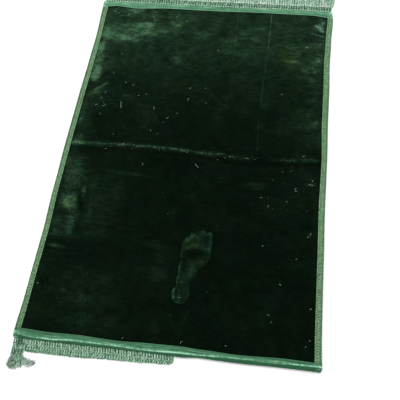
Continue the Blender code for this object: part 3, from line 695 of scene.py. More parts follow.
cloth_x, cloth_y = cloth_crossings()
row_count, column_count = cloth_x.shape
row_top = line_heights(row_count, END_MARGIN, 3, PILE_HEIGHT)[:, None]
column_top = line_heights(column_count, SIDE_MARGIN, 3, PILE_HEIGHT)[None, :]
row_under = line_heights(row_count, END_MARGIN, 2, 0.0)[:, None]
column_under = line_heights(column_count, SIDE_MARGIN, 2, 0.0)[None, :]
floor_lift = underside(cloth_x, cloth_y)
inside_tapes = np.minimum.reduce([
    cloth_x - side_x(cloth_y, -1, 1.0, 0.0), side_x(cloth_y, 1, 1.0, 0.0) - cloth_x,
    cloth_y - end_y(cloth_x, -1, 1.0, 0.0), end_y(cloth_x, 1, 1.0, 0.0) - cloth_y])
relief = pile_relief(cloth_x, cloth_y) * soft_step(inside_tapes, *RELIEF_EDGE)
cloth_top = np.stack([cloth_x, cloth_y,
                      floor_lift + np.minimum(row_top, column_top) + relief], 2)
cloth_bottom = np.stack([cloth_x, cloth_y, floor_lift + np.maximum(row_under, column_under)], 2)
end_lines, side_lines = len(END_MARGIN), len(SIDE_MARGIN)
lifted_rows = int(np.argmax(np.all(floor_lift < 0.001 * MM, axis=1))) + 1
cloth_mesh = closed_sheet(
    "rug_velvet", cloth_top, cloth_bottom,
    (lifted_rows, row_count - end_lines, side_lines, column_count - side_lines),
    tone=pile_tone(cloth_x, cloth_y),
    rubbed=crest_light(cloth_x, cloth_y),
    trodden=TRODDEN * soft_step(sole_depth(cloth_x, cloth_y), *SOLE_EDGE),
    stroked_across=strokes_shown(cloth_x, cloth_y, 0),
    stroked_down=strokes_shown(cloth_x, cloth_y, 1))


def calculate(tree, operation, *values):
    """The result of one sum on numbers or sockets."""
    return add_node(tree, "ShaderNodeMath", dict(enumerate(values)),
                    operation=operation).outputs[0]


def add_up(tree, total, *parts):
    """A total to which parts are added; each part is a socket and the amount of it."""
    for value, amount in parts:
        total = calculate(tree, "MULTIPLY_ADD", value, amount, total)
    return total


def attribute(tree, name):
    """A value kept on the mesh's points."""
    return add_node(tree, "ShaderNodeAttribute", attribute_name=name).outputs["Fac"]


def own_place(tree):
    """The place of a point on its own piece."""
    return add_node(tree, "ShaderNodeTexCoord").outputs["Object"]


def mottle(tree, place, scale, detail=3.0):
    """Noise around 0 at a place; scale is a number, or one for each axis."""
    if isinstance(scale, tuple):
        place = add_node(tree, "ShaderNodeMapping", {"Vector": place, "Scale": scale}).outputs[0]
        scale = 1.0
    noise = add_node(tree, "ShaderNodeTexNoise", {"Vector": place, "Scale": scale,
                                                  "Detail": detail, "Roughness": 0.6})
    return calculate(tree, "SUBTRACT", noise.outputs["Fac"], 0.5)


def graded(tree, value, stops):
    """Colours along a value from 0 to 1; stops hold a position and a colour."""
    ramp = add_node(tree, "ShaderNodeValToRGB", {"Fac": value})
    elements = ramp.color_ramp.elements
    elements[0].position, elements[0].color = 0.0, (*stops[0][1], 1.0)
    elements[1].position, elements[1].color = 1.0, (*stops[-1][1], 1.0)
    for position, colour in stops[1:-1]:
        elements.new(position).color = (*colour, 1.0)
    return ramp.outputs["Color"]


def dress(tree, shader, colour, height, strength, distance):
    """Give a shader its colour and the bumps of a fine relief (m)."""
    bump = add_node(tree, "ShaderNodeBump", {"Height": height, "Strength": strength,
                                             "Distance": distance})
    tree.links.new(colour, shader.inputs["Base Color"])
    tree.links.new(bump.outputs["Normal"], shader.inputs["Normal"])


def bare_line(tree, x, y, start, end, amount):
    """Tone of a bare thread of the ground between two places (mm)."""
    (x0, y0), (x1, y1) = start, end
    slope = (x1 - x0) / (y1 - y0)
    on_line = add_up(tree, (x0 - slope * y0) * MM, (y, slope))
    from_line = calculate(tree, "ABSOLUTE", calculate(tree, "SUBTRACT", x, on_line))
    closeness = calculate(tree, "DIVIDE", from_line, BARE_WIDTH)
    mask = calculate(tree, "MAXIMUM", calculate(tree, "SUBTRACT", 1.0, closeness), 0.0)
    above = calculate(tree, "GREATER_THAN", y, min(y0, y1) * MM)
    below = calculate(tree, "LESS_THAN", y, max(y0, y1) * MM)
    within = calculate(tree, "MULTIPLY", calculate(tree, "MULTIPLY", above, below), amount)
    return calculate(tree, "MULTIPLY", mask, within)


pile_finish, tree, pile_shader = new_finish(
    "velvet_pile", Roughness=0.85, Specular_IOR_Level=0.0, Sheen_Weight=0.05,
    Sheen_Roughness=0.35, Sheen_Tint=(0.30, 1.0, 0.50, 1.0))
spot = own_place(tree)
tone_value = attribute(tree, "tone")
unevenness = add_up(tree, TONE_START, (tone_value, TONE_SPREAD))
textures = []
total = tone_value
for scale, detail, amount in PILE_TEXTURES:
    textures.append(mottle(tree, spot, scale, detail))
    total = add_up(tree, total, (calculate(tree, "MULTIPLY", textures[-1], amount), unevenness))
for name, scale in STROKE_SCALES:
    scaled = calculate(tree, "MULTIPLY", mottle(tree, spot, scale), STROKE_STRENGTH)
    total = add_up(tree, total, (scaled, attribute(tree, name)))
speckle = add_up(tree, SPECKLE_START, (mottle(tree, spot, SPECKLE_SCALE), SPECKLE_AMOUNT))
speckle = calculate(tree, "MAXIMUM", speckle, 0.0)
# The fold's crest gets a painted highlight, broken into specks.
total = add_up(tree, total, (speckle, attribute(tree, "rubbed")))
axes = add_node(tree, "ShaderNodeSeparateXYZ", {0: spot}).outputs
covered = mottle(tree, spot, (1.0, BARE_BREAKS, 1.0))
breaks = add_up(tree, BARE_MIDDLE, (covered, BARE_CONTRAST))
breaks = calculate(tree, "MINIMUM", calculate(tree, "MAXIMUM", breaks, 0.0), BARE_MOST)
for start, end, amount in BARE_LINES:
    line = bare_line(tree, axes["X"], axes["Y"], start, end, amount)
    total = add_up(tree, total, (line, breaks))
stops = np.linspace(0.0, 1.0, PILE_STOPS)
pile_colour = graded(tree, total, [
    (stop, PILE_TINT * PILE_DARKEST * math.exp(PILE_GROWTH * stop)) for stop in stops])
hue = add_node(tree, "ShaderNodeCombineXYZ", {
    0: add_up(tree, 1.0, (mottle(tree, spot, RED_SCALE), HUE_SPREAD)), 1: 1.0,
    2: add_up(tree, 1.0, (mottle(tree, spot, BLUE_SCALE), HUE_SPREAD))})
dyed = add_node(tree, "ShaderNodeVectorMath", {0: pile_colour, 1: hue.outputs[0]},
                operation="MULTIPLY").outputs[0]
raised = add_up(tree, textures[2], (textures[1], STROKE_HEIGHT))
dress(tree, pile_shader, dyed, raised, 0.5, 0.6 * MM)

back_finish, tree, back_shader = new_finish("velvet_back", Roughness=0.85,
                                            Specular_IOR_Level=0.05)
spot = own_place(tree)
threads = [add_node(tree, "ShaderNodeTexWave", {"Vector": spot, "Scale": BACK_THREADS,
                                                "Distortion": 0.8, "Detail": 1.0},
                    bands_direction=direction).outputs["Fac"] for direction in "XY"]
weave = calculate(tree, "MULTIPLY", *threads)
faded = add_node(tree, "ShaderNodeTexNoise", {"Vector": spot, "Scale": 9.0, "Detail": 4.0})
back_shade = add_up(tree, weave, (faded.outputs["Fac"], 0.6))
back_colour = graded(tree, back_shade, ((0.0, BACK_DARK), (1.0, BACK_LIGHT)))
dress(tree, back_shader, back_colour, weave, 0.5, 0.2 * MM)

velvet = add_piece("rug_velvet", cloth_mesh, [pile_finish, back_finish], "velvet_pile",
                   "velvet_cloth")
for face in cloth_mesh.polygons:
    face.material_index = int(face.normal.z < -0.5)


# -------------------------------------------------------------------------- side tapes
# A woven tape on each long edge, folded over the raw velvet and sewn down along its
# inner side. It is a yellowish green herringbone with a corded inner selvedge, and it
# ends at the satin tapes, which run on over the corners.
TAPE_THICKNESS = 1.0 * MM
# Section of a tape's middle surface, from its inner top edge over the outer edge to its
# inner bottom edge: share of its width, distance from the outer edge, height (mm).
SIDE_SECTION = (
    (1.00, 0.0, 4.9), (0.60, 0.0, 5.0), (0.25, 0.0, 4.8), (0.00, 1.6, 4.2), (0.00, 0.5, 2.7),
    (0.00, 1.6, 1.1), (0.25, 0.0, 0.5), (0.90, 0.0, 0.5),
)
END_SECTION = (
    (1.00, 0.0, 5.2), (0.72, 0.0, 5.8), (0.47, 0.0, 6.1), (0.00, 7.6, 5.5), (0.00, 3.4, 4.2),
    (0.00, 0.6, 2.9), (0.00, 1.6, 2.15), (0.00, 5.7, 2.1), (0.00, 7.9, 0.5), (0.48, 0.0, 0.5),
    (0.92, 0.0, 0.5),
)
SIDE_TURN = 4  # the row of SIDE_SECTION at the outer edge
END_TURN = 5  # the row of END_SECTION at the roll
SIDE_POINTS = (17, 8, 5)  # mesh points on top of a tape, round its edge, below
TAPE_MEETING = 381.0 * MM  # about where an end tape meets a side tape
SEAM_GAP = 0.4  # mm between a side tape and an end tape
SIDE_STATION = 1.6 * MM  # between the stations of a side tape's mesh
SIDE_END_REACH = 20 * MM  # of the stretch in which a side tape follows an end tape
SEAM_STRAYS = ((0.25, 30, 0),)  # height, width (mm), seed
WOVEN_FROM, WOVEN_TO = (3.2 * MM, 4.4 * MM), (17 * MM, 19 * MM)  # from the inner edge
OUTER_PART = (9 * MM, 13 * MM)
BRAID_SWELLS = ((0.25, 40, 8, 3), (0.12, 9, 4, 6))
SELVEDGE_HEIGHT = 0.38 * MM  # the cord along the inner edge
SELVEDGE_REACH = 0.7 * MM
SIDE_SEAM = 2.7 * MM  # from the inner edge to the sewn line
SEAM_DEPTH = 0.30 * MM
SEAM_REACH = 0.6 * MM
SPINE_PLACE = 8.5 * MM  # from the inner edge to the herringbone's spine
CHEVRON_PITCH = 7.4 * MM
CHEVRON_SLANT = 0.7
CHEVRON_HEIGHT = 0.24 * MM
DOT_PITCH = 4.3 * MM  # of the light dots where its yarns come up
THREAD_PITCH = 1.3 * MM
# Painted light and shade of the side tapes, as a factor on their colour.
PAINTED_LIGHT_BASE = 0.98
OUTER_PAINTED_LIGHT = 0.15  # the right tape's outer part has painted light, the left one's painted shade
FAR_PAINTED_LIGHT, FAR_PAINTED_LIGHT_FROM = 0.22, (0.20, 0.40)
# Shade of the braid, and how much its weave, its uneven dye and its grain change it.
BRAID_SHADE, CHEVRON_SHADE, DOT_SHADE, THREAD_SHADE = 0.33, 0.62, 0.50, 0.30
BRAID_CLOUD, BRAID_GRAIN = (110.0, 0.9), (300.0, 2.8)  # scale per metre, amount
BRAID_RAMP_WIDTH = 25.0 * MM
# The colours darken in the seam's groove and towards the rounded outer edge: painted shade.
BRAID_COLOURS = (  # from the inner edge (mm), colour
    (0.0, (0.110, 0.215, 0.115)), (1.6, (0.165, 0.305, 0.158)), (2.6, (0.056, 0.125, 0.060)),
    (4.2, (0.085, 0.180, 0.080)), (8.5, (0.120, 0.230, 0.105)), (11.5, (0.088, 0.172, 0.088)),
    (14.0, (0.062, 0.124, 0.068)), (16.0, (0.066, 0.130, 0.074)), (25.0, (0.035, 0.080, 0.050)),
)


def spline_weights(count, places):
    """Weights that read a smooth curve through count points at places along them."""
    weights = np.zeros((len(places), count))
    for row, place in enumerate(places):
        start = min(int(place), count - 2)
        t = place - start
        shares = ((1 - t) ** 3 / 6, (3 * t ** 3 - 6 * t ** 2 + 4) / 6,
                  (-3 * t ** 3 + 3 * t ** 2 + 3 * t + 1) / 6, t ** 3 / 6)
        for index, share in zip(range(start - 1, start + 3), shares):
            if index < 0:
                weights[row, :2] += np.array((2, -1)) * share
            elif index >= count:
                weights[row, -2:] += np.array((-1, 2)) * share
            else:
                weights[row, index] += share
    return weights


def section_places(rows, turn, points):
    """Where a section is read: many points on top, fewer round the turn and below."""
    top_points, turn_points, under_points = points
    return np.concatenate([np.linspace(0, turn - 1.5, top_points, endpoint=False),
                           np.linspace(turn - 1.5, turn + 1.5, turn_points, endpoint=False),
                           np.linspace(turn + 1.5, rows - 1, under_points)])


def arc_length(middle):
    """Distance over a surface from its first column, at each point."""
    steps = np.linalg.norm(np.diff(middle, axis=1), axis=2)
    return np.concatenate([np.zeros((len(middle), 1)), np.cumsum(steps, axis=1)], 1)


def tape_sheet(name, middle, axis, outward, relief, **values):
    """A tape's mesh, from its middle surface and the relief of its outer side, and the
    outer side's points.

    axis runs along the tape; outward is +1 or -1 for the side on which it bulges.
    """
    normal = unit(np.cross(np.gradient(middle, axis=1), np.array(axis)) * outward)
    outer = middle + normal * (TAPE_THICKNESS / 2 + relief)[:, :, None]
    inner = middle - normal * TAPE_THICKNESS / 2
    order = slice(None, None, outward)
    kept = {key: np.broadcast_to(value, relief.shape)[:, order] for key, value in values.items()}
    return closed_sheet(name, outer[:, order], inner[:, order], **kept), outer


def line_across(outer, across, place):
    """The line on a tape's outer side that runs this far from its inner edge."""
    line = [[np.interp(place, row_across, row[:, axis]) for axis in range(3)]
            for row, row_across in zip(outer, across)]
    return np.array(line)


def side_section(stations, side):
    """Points of a side tape's middle surface, whose ends follow the satin tapes."""
    columns = []
    for share, added, height in SIDE_SECTION:
        x = side_x(stations, side, share, added)
        y = stations.copy()
        for end, last in ((-1, stations[0]), (1, stations[-1])):
            close = 1.0 - soft_step(np.abs(stations - last), 0.0, SIDE_END_REACH)
            y += close * (end_y(x, end, 1.0, SEAM_GAP) - last)
        columns.append(np.stack([x, y, underside(x, y) + height * MM], 1))
    return np.stack(columns, 1)


def ridges(phase):
    """Rounded ridges between 0 and 1, one for each whole number of the phase."""
    return 0.5 + 0.5 * np.cos(2.0 * math.pi * phase)


def make_side_tape(name, side):
    """A side tape's mesh and the line of its seam."""
    edge_x = np.array(side * TAPE_MEETING)
    near_end, far_end = (end_y(edge_x, end, 1.0, SEAM_GAP) for end in (-1, 1))
    stations = np.linspace(near_end, far_end, int((far_end - near_end) / SIDE_STATION))
    places = section_places(len(SIDE_SECTION), SIDE_TURN, SIDE_POINTS)
    weights = spline_weights(len(SIDE_SECTION), places)
    middle = np.einsum("pr,src->spc", weights, side_section(stations, side))
    along = middle[:, :, 1]
    across = arc_length(middle)
    seed = 30 + side
    seam = SIDE_SEAM + MM * strays(along, SEAM_STRAYS, seed)
    woven = soft_step(across, *WOVEN_FROM) * (1.0 - soft_step(across, *WOVEN_TO))
    chevron = ridges((along + CHEVRON_SLANT * np.abs(across - SPINE_PLACE)) / CHEVRON_PITCH)
    relief = SELVEDGE_HEIGHT * hump(across, SELVEDGE_REACH, SELVEDGE_REACH)
    relief -= SEAM_DEPTH * hump(across, seam, SEAM_REACH)
    relief += (CHEVRON_HEIGHT * chevron + MM * swells(along, across, BRAID_SWELLS, seed)) * woven
    # Painted light and shade: the right tape's outer part lighter, more so towards its far end,
    # and the left one's darker.
    outer_part = soft_step(across, *OUTER_PART)
    worn = PAINTED_LIGHT_BASE + side * OUTER_PAINTED_LIGHT * outer_part
    if side > 0:
        worn += FAR_PAINTED_LIGHT * outer_part * soft_step(along, *FAR_PAINTED_LIGHT_FROM)
    mesh, outer = tape_sheet(name, middle, (0.0, 1.0, 0.0), side, relief,
                             across=across, along=along, worn=worn)
    return mesh, line_across(outer, across, SIDE_SEAM)


def new_group(name, inputs, outputs):
    """An empty shader node group with number sockets, and its inner sockets."""
    group = bpy.data.node_groups.new(name, "ShaderNodeTree")
    for socket in inputs:
        group.interface.new_socket(name=socket, in_out="INPUT", socket_type="NodeSocketFloat")
    for socket in outputs:
        group.interface.new_socket(name=socket, in_out="OUTPUT", socket_type="NodeSocketFloat")
    given = group.nodes.new("NodeGroupInput").outputs
    return group, given, group.nodes.new("NodeGroupOutput").inputs


def dimmed(tree, colour, amount):
    """A colour made lighter or darker by an amount around 1."""
    return add_node(tree, "ShaderNodeVectorMath", {0: colour, "Scale": amount},
                    operation="SCALE").outputs[0]


def ribs(tree, along, across, pitch, slant):
    """Slanting ribs of a weave, from 0 in the furrows to 1 on the ribs."""
    values = {"Along": along, "Across": across, "Pitch": pitch, "Slant": slant}
    return add_node(tree, "ShaderNodeGroup", values, node_tree=ribs_group).outputs["Rib"]


def uneven_cloth(tree, cloud_scale, grain_scale):
    """Soft clouds of uneven dye and the grain of single fibres, both around 0."""
    values = {"Cloud Scale": cloud_scale, "Grain Scale": grain_scale}
    outputs = add_node(tree, "ShaderNodeGroup", values, node_tree=uneven_group).outputs
    return outputs["Cloud"], outputs["Grain"]


ribs_group, given, result = new_group("slanted_ribs", ("Along", "Across", "Pitch", "Slant"),
                                      ("Rib",))
slanted = add_up(ribs_group, given["Along"], (given["Across"], given["Slant"]))
phase = calculate(ribs_group, "DIVIDE", slanted, given["Pitch"])
wave = calculate(ribs_group, "SINE", calculate(ribs_group, "MULTIPLY", phase, 2 * math.pi))
ribs_group.links.new(add_up(ribs_group, 0.5, (wave, 0.5)), result["Rib"])

uneven_group, given, result = new_group("uneven_cloth", ("Cloud Scale", "Grain Scale"),
                                        ("Cloud", "Grain"))
place = own_place(uneven_group)
for socket, detail in (("Cloud", 4.0), ("Grain", 2.0)):
    noise = add_node(uneven_group, "ShaderNodeTexNoise",
                     {"Vector": place, "Scale": given[socket + " Scale"], "Detail": detail})
    around_zero = calculate(uneven_group, "SUBTRACT", noise.outputs["Fac"], 0.5)
    uneven_group.links.new(around_zero, result[socket])

braid_finish, tree, braid_shader = new_finish(
    "side_braid", Roughness=0.7, Specular_IOR_Level=0.12, Sheen_Weight=0.05,
    Sheen_Roughness=0.4, Sheen_Tint=(0.7, 1.0, 0.65, 1.0))
across, along = attribute(tree, "across"), attribute(tree, "along")
band = calculate(tree, "DIVIDE", across, BRAID_RAMP_WIDTH)
braid_colour = graded(tree, band, [(place * MM / BRAID_RAMP_WIDTH, colour)
                                   for place, colour in BRAID_COLOURS])
from_spine = calculate(tree, "ABSOLUTE", calculate(tree, "SUBTRACT", across, SPINE_PLACE))
chevrons, dots, threads = (ribs(tree, along, from_spine, pitch, CHEVRON_SLANT)
                           for pitch in (CHEVRON_PITCH, DOT_PITCH, THREAD_PITCH))
cloud, grain = uneven_cloth(tree, BRAID_CLOUD[0], BRAID_GRAIN[0])
shade = add_up(tree, BRAID_SHADE, (chevrons, CHEVRON_SHADE), (dots, DOT_SHADE),
               (threads, THREAD_SHADE), (cloud, BRAID_CLOUD[1]), (grain, BRAID_GRAIN[1]))
shade = calculate(tree, "MULTIPLY", shade, attribute(tree, "worn"))
braid_height = add_up(tree, threads, (grain, 0.5))
dress(tree, braid_shader, dimmed(tree, braid_colour, shade), braid_height, 0.6, 0.25 * MM)

seams, braids = {}, []
for name, side, node in (("side_braid_left", -1, "side_tape_left"),
                         ("side_braid_right", 1, "side_tape_right")):
    mesh, seams[name] = make_side_tape(name, side)
    braid = add_piece(name, mesh, [braid_finish], "side_tape", node)
    braids.append(braid)


# --------------------------------------------------------------------------- end tapes
# A satin tape folded over each end of the velvet, over the heading of the fringe and on
# over the corners, where it is pressed together. It is sewn down along its inner lip,
# puckers there and rounds down to a rolled edge. The near one has a painted highlight on its
# crest and painted shade on its slope down to the roll.
END_STATION = 1.6 * MM
RIM_STEPS = (0.0, 0.4, 0.9, 1.5, 2.3, 3.3, 4.6)  # mm, stations at a satin tape's ends
RIM_INSET = 0.4  # mm from the rug's side edge to a satin tape's end
CORNER_STRETCH = 24 * MM  # along which the stations follow the rounded corner
# How it is pressed together there: distance from its end, most height of its upper run,
# least height of its lower run (mm).
END_PRESSING = (
    (0.0, 3.7, 2.0), (1.0, 4.4, 1.2), (2.4, 5.1, 0.6), (6.0, 5.9, 0.5), (14.0, 6.4, 0.5),
)
END_POINTS = (26, 11, 6)
LIP_HEIGHT = 0.30 * MM
LIP_PLACE, LIP_REACH = 1.2 * MM, 0.9 * MM  # from the lip's edge
UPPER_SIDE = (22 * MM, 30 * MM)  # where the upper side ends
END_SEAM, END_SEAM_STRAYS = 3.2 * MM, ((0.5, 50, 0),)
END_SEAM_DEPTH = 0.50 * MM
END_SEAM_REACH = 0.8 * MM
FULLNESS, FULL_PLACE, FULL_REACH = 0.30 * MM, 9 * MM, 6 * MM
PUCKER_PITCH, PUCKER_STRAYS = 8.5 * MM, ((0.6, 30, 3),)
PUCKER_HEIGHT, PUCKER_REACH = 0.16 * MM, 6 * MM
# Swells of the satin: height, length, width (mm), seed; then streaks of its gleam.
SATIN_SWELLS = ((0.28, 60, 7, 5), (0.16, 22, 4, 7))
GLEAM_STREAKS = ((0.20, 70, 2.2, 9), (0.16, 22, 1.4, 11), (0.10, 5, 2, 13))
SATIN_LENGTH_SCALE = (16.0, 900.0, 900.0)
# Line of the painted highlight on the near tape's crest: x, y (mm).
NEAR_CREST = (
    (-400, -596.0), (-345, -601.8), (-300, -602.6), (-255, -600.2), (-130, -600.0),
    (-50, -601.8), (60, -599.8), (170, -597.5), (250, -597.0), (400, -595.0),
)
CREST_GLEAM, GLEAM_REACH = 0.36, 1.5 * MM
# How its line strays and how it is broken: height, width (mm), seed.
GLEAM_STRAYS, GLEAM_BREAKS = ((0.4, 30, 62),), ((0.14, 20, 61), (0.20, 5, 64))
GLEAM_STARTS, GLEAM_START = (-370 * MM, -300 * MM), 0.30  # x, and how much it grows there
GLEAM_FADES, GLEAM_FADING = (60 * MM, 260 * MM), 0.26  # x, and how much it fades there
SLOPE_GLEAM, SLOPE_SHARE = 0.22, 0.9  # even shade of the slope outside the crest
SLOPE_FROM, SLOPE_STARTS = (1.2 * MM, 3.2 * MM), (-0.398, -0.378)
# Painted highlight along the far tape's crest: its tone, place and reach across the tape.
FAR_CREST_GLEAM, FAR_CREST_PLACE, FAR_CREST_REACH = 0.20, 16 * MM, 4 * MM
FAR_CREST_SHOWN, FAR_CREST_BREAKS = 0.6, ((1.0, 40, 63),)
SATIN_CLOUD, SATIN_GRAIN = (34.0, 0.22), (1400.0, 0.35)  # scale per metre, amount
FLOAT_GLEAM, GLEAM_OFFSET = 0.34, 0.17  # gleam of the long threads; their mean, taken off
TWILL_PITCH, TWILL_SLANT, TWILL_SHADE, TWILL_HEIGHT = 0.8 * MM, 0.5, 0.05, 0.15
SATIN_SHADE = 0.97
# From painted shade at 0 to painted highlight at 1.
SATIN_COLOURS = (  # gleam, colour
    (0.00, (0.008, 0.042, 0.017)), (0.25, (0.020, 0.095, 0.042)),
    (0.50, (0.060, 0.190, 0.100)), (0.75, (0.125, 0.300, 0.178)), (1.00, (0.360, 0.660, 0.470)),
)
NEAR_GLEAM, FAR_GLEAM = 0.38, 0.50  # between the seam and the crest
NEAR_LIP_GLEAM, FAR_LIP_GLEAM = 0.10, 0.40
LIP_GLEAM_REACH = 1.1 * MM
SEAM_SHADE, SEAM_SHADE_REACH = 0.30, 1.0 * MM
CORNER_GLEAM, CRUMPLED_GLEAM = 0.12, 0.42  # of the crumpled satin over the corners
CORNER_PART, CRUMPLED_HEIGHT = (8 * MM, 20 * MM), 0.25 * MM
CRUMPLES = ((1.0, 3.5, 3, 15),)
WIDE_GLEAM, WIDE_REACH = 0.26, 4.4 * MM  # the light that lies on both sides of the crest


def end_section(stations, end):
    """Points of an end tape's middle surface, whose ends follow the rug's side edges."""
    columns = []
    inward = np.minimum(stations - stations[0], stations[-1] - stations)
    for row, (share, added, height) in enumerate(END_SECTION):
        x = stations.copy()
        for side, last in ((-1, stations[0]), (1, stations[-1])):
            edge = side_x(end_y(np.array(last), end, share, added), side, 0.0, RIM_INSET)
            x += (edge - last) * (1.0 - soft_step(np.abs(stations - last), 0.0, CORNER_STRETCH))
        y = end_y(x, end, share, added)
        level = np.full(len(x), height * MM)
        if row < END_TURN:
            level = np.minimum(level, read(END_PRESSING, inward))
        elif row > END_TURN:
            level = np.maximum(level, read(END_PRESSING, inward, 2))
        columns.append(np.stack([x, y, underside(x, y) + level], 1))
    return np.stack(columns, 1)


def make_end_tape(name, end):
    """An end tape's mesh, its outer side's points and their distance from its lip."""
    middle_y = end_y(np.array(0.0), end, 1.0, 0.0)
    left, right = (float(side_x(middle_y, side, 0.0, RIM_INSET)) for side in (-1, 1))
    steps = np.array(RIM_STEPS) * MM
    open_run = np.linspace(left + steps[-1], right - steps[-1],
                           int((right - left) / END_STATION))
    stations = np.concatenate([left + steps[:-1], open_run, right - steps[-2::-1]])
    places = section_places(len(END_SECTION), END_TURN, END_POINTS)
    weights = spline_weights(len(END_SECTION), places)
    middle = np.einsum("pr,src->spc", weights, end_section(stations, end))
    along, y = middle[:, :, 0], middle[:, :, 1]
    across = arc_length(middle)
    seed = 50 + end
    top = 1.0 - soft_step(across, *UPPER_SIDE)
    seam = END_SEAM + MM * strays(along, END_SEAM_STRAYS, seed)
    past_seam = soft_step(across, END_SEAM, END_SEAM + 2 * MM)
    relief = LIP_HEIGHT * hump(across, LIP_PLACE, LIP_REACH)
    relief -= END_SEAM_DEPTH * hump(across, seam, END_SEAM_REACH)
    relief += FULLNESS * hump(across, FULL_PLACE, FULL_REACH)
    pucker = ridges(along / PUCKER_PITCH + strays(along, PUCKER_STRAYS, seed))
    relief += PUCKER_HEIGHT * pucker * past_seam * np.exp(-(across - END_SEAM) / PUCKER_REACH)
    relief += MM * swells(along, across, SATIN_SWELLS, seed) * top * past_seam
    # The gleam is painted light and shade besides the satin's streaks: highlights on the raised
    # lip, along the crest and on the crumpled corners, shade in the seam's groove and on the near
    # tape's slope.
    gleam = NEAR_GLEAM if end < 0 else FAR_GLEAM
    lip_gleam = NEAR_LIP_GLEAM if end < 0 else FAR_LIP_GLEAM
    gleam = gleam + swells(along, across, GLEAM_STREAKS, seed) * past_seam
    gleam += lip_gleam * hump(across, LIP_PLACE, LIP_GLEAM_REACH)
    gleam -= SEAM_SHADE * hump(across, seam, SEAM_SHADE_REACH)
    if end < 0:
        crest = read(NEAR_CREST, along)
        broken = strays(along, GLEAM_BREAKS) + CREST_GLEAM
        broken -= GLEAM_FADING * soft_step(along, *GLEAM_FADES)
        broken -= GLEAM_START * (1.0 - soft_step(along, *GLEAM_STARTS))
        line = crest + MM * strays(along, GLEAM_STRAYS)
        gleam += broken * hump(y, line, GLEAM_REACH)
        gleam += WIDE_GLEAM * hump(y, crest, WIDE_REACH)
        slope = soft_step(crest - y, *SLOPE_FROM) * soft_step(along, *SLOPE_STARTS)
        gleam -= (gleam - SLOPE_GLEAM) * SLOPE_SHARE * slope
    else:
        crest = hump(across, FAR_CREST_PLACE, FAR_CREST_REACH)
        gleam += FAR_CREST_GLEAM * crest * (FAR_CREST_SHOWN + strays(along, FAR_CREST_BREAKS))
    inward = np.minimum(stations - stations[0], stations[-1] - stations)[:, None]
    corner = 1.0 - soft_step(inward, *CORNER_PART)
    crumpled = swells(along, y, CRUMPLES, seed)
    gleam += corner * (CORNER_GLEAM + CRUMPLED_GLEAM * crumpled)
    relief += corner * top * CRUMPLED_HEIGHT * crumpled
    mesh, outer = tape_sheet(name, middle, (1.0, 0.0, 0.0), -end, relief, across=across,
                             along=along, gleam=np.clip(gleam, 0.0, 1.0))
    return mesh, outer, across


satin_finish, tree, satin_shader = new_finish(
    "satin_tape", Roughness=0.5, Specular_IOR_Level=0.12, Sheen_Weight=0.03,
    Sheen_Roughness=0.3, Sheen_Tint=(0.5, 1.0, 0.7, 1.0))
across, along = attribute(tree, "across"), attribute(tree, "along")
lengthwise = add_node(tree, "ShaderNodeMapping", {"Vector": own_place(tree),
                                                  "Scale": SATIN_LENGTH_SCALE})
floats = add_node(tree, "ShaderNodeTexNoise", {"Vector": lengthwise.outputs[0], "Scale": 1.0,
                                               "Detail": 3.0}).outputs["Fac"]
cloud, grain = uneven_cloth(tree, SATIN_CLOUD[0], SATIN_GRAIN[0])
gleam = add_up(tree, attribute(tree, "gleam"), (floats, FLOAT_GLEAM), (cloud, SATIN_CLOUD[1]))
gleam = calculate(tree, "SUBTRACT", gleam, GLEAM_OFFSET)
satin_colour = graded(tree, gleam, SATIN_COLOURS)
twill = ribs(tree, along, across, TWILL_PITCH, TWILL_SLANT)
shade = add_up(tree, SATIN_SHADE, (twill, TWILL_SHADE), (grain, SATIN_GRAIN[1]))
satin_height = add_up(tree, floats, (twill, TWILL_HEIGHT))
dress(tree, satin_shader, dimmed(tree, satin_colour, shade), satin_height, 0.4, 0.2 * MM)

satins, satin_tops = [], []
for name, end, node in (("satin_tape_near", -1, "end_tape_near"),
                        ("satin_tape_far", 1, "end_tape_far")):
    mesh, outer, across = make_end_tape(name, end)
    seams[name] = line_across(outer, across, END_SEAM)
    satin_tops.append(outer[:, :END_POINTS[0]])
    satin = add_piece(name, mesh, [satin_finish], "satin_tape", node)
    satins.append(satin)


# --------------------------------------------------------------------------- stitches
# Running stitches of light green thread along the inner side of each tape, which hold it
# to the velvet, and a few larger cross stitches that close the corners.
STITCH_PITCH = 3.3 * MM
STITCH_LENGTH = 2.3 * MM
STITCH_RADIUS = 0.20 * MM
STITCH_RISE = 0.16 * MM  # the middle of a stitch over the cloth
STITCH_SINK = 0.45 * MM  # its ends below the cloth
STITCH_SLANT, SLANT_STRAY = 0.35, 0.5  # sideways for each unit along; share it differs by
STITCH_SLIP = 0.3  # mm
STITCH_SHARES = (0.0, 0.14, 0.5, 0.86, 1.0)  # its points, as shares of its length
# A larger stitch: share of its length from its middle, height over the cloth (mm).
CORNER_RISE = ((-0.5, -0.9), (-0.42, 0.0), (-0.2, 0.25), (0.2, 0.3), (0.42, 0.0), (0.5, -0.9))
THREAD_COLOURS = (
    (0.0, (0.070, 0.170, 0.100)), (0.5, (0.190, 0.370, 0.240)), (1.0, (0.380, 0.600, 0.440)),
)
# Cross stitches: x, y of the middle, length (mm), turn (degrees).
CORNER_STITCHES = (
    (-393, -587, 8, 8), (-391, -591, 9, -6), (-392, -595, 8, 5), (-388, -592, 7, 80),
    (-389, -600, 6, 20), (-384, -598, 6, 70), (391, -590, 8, 12), (389, -596, 8, -10),
    (391, -601, 6, 30), (385, -599, 6, 84), (-393, 582, 7, -6), (-392, 588, 7, 8),
    (395, 580, 7, 6), (394, 586, 7, -8),
)
CORNER_STITCH_RADIUS = 0.32 * MM
SIDE_THREAD, END_THREAD, CORNER_THREAD = 0.45, 0.60, 0.75  # shades of the thread
THREAD_STRAY = 0.2
THREAD_CLOUD, THREAD_GRAIN = (300.0, 0.5), (2500.0, 0.8)  # scale per metre, amount


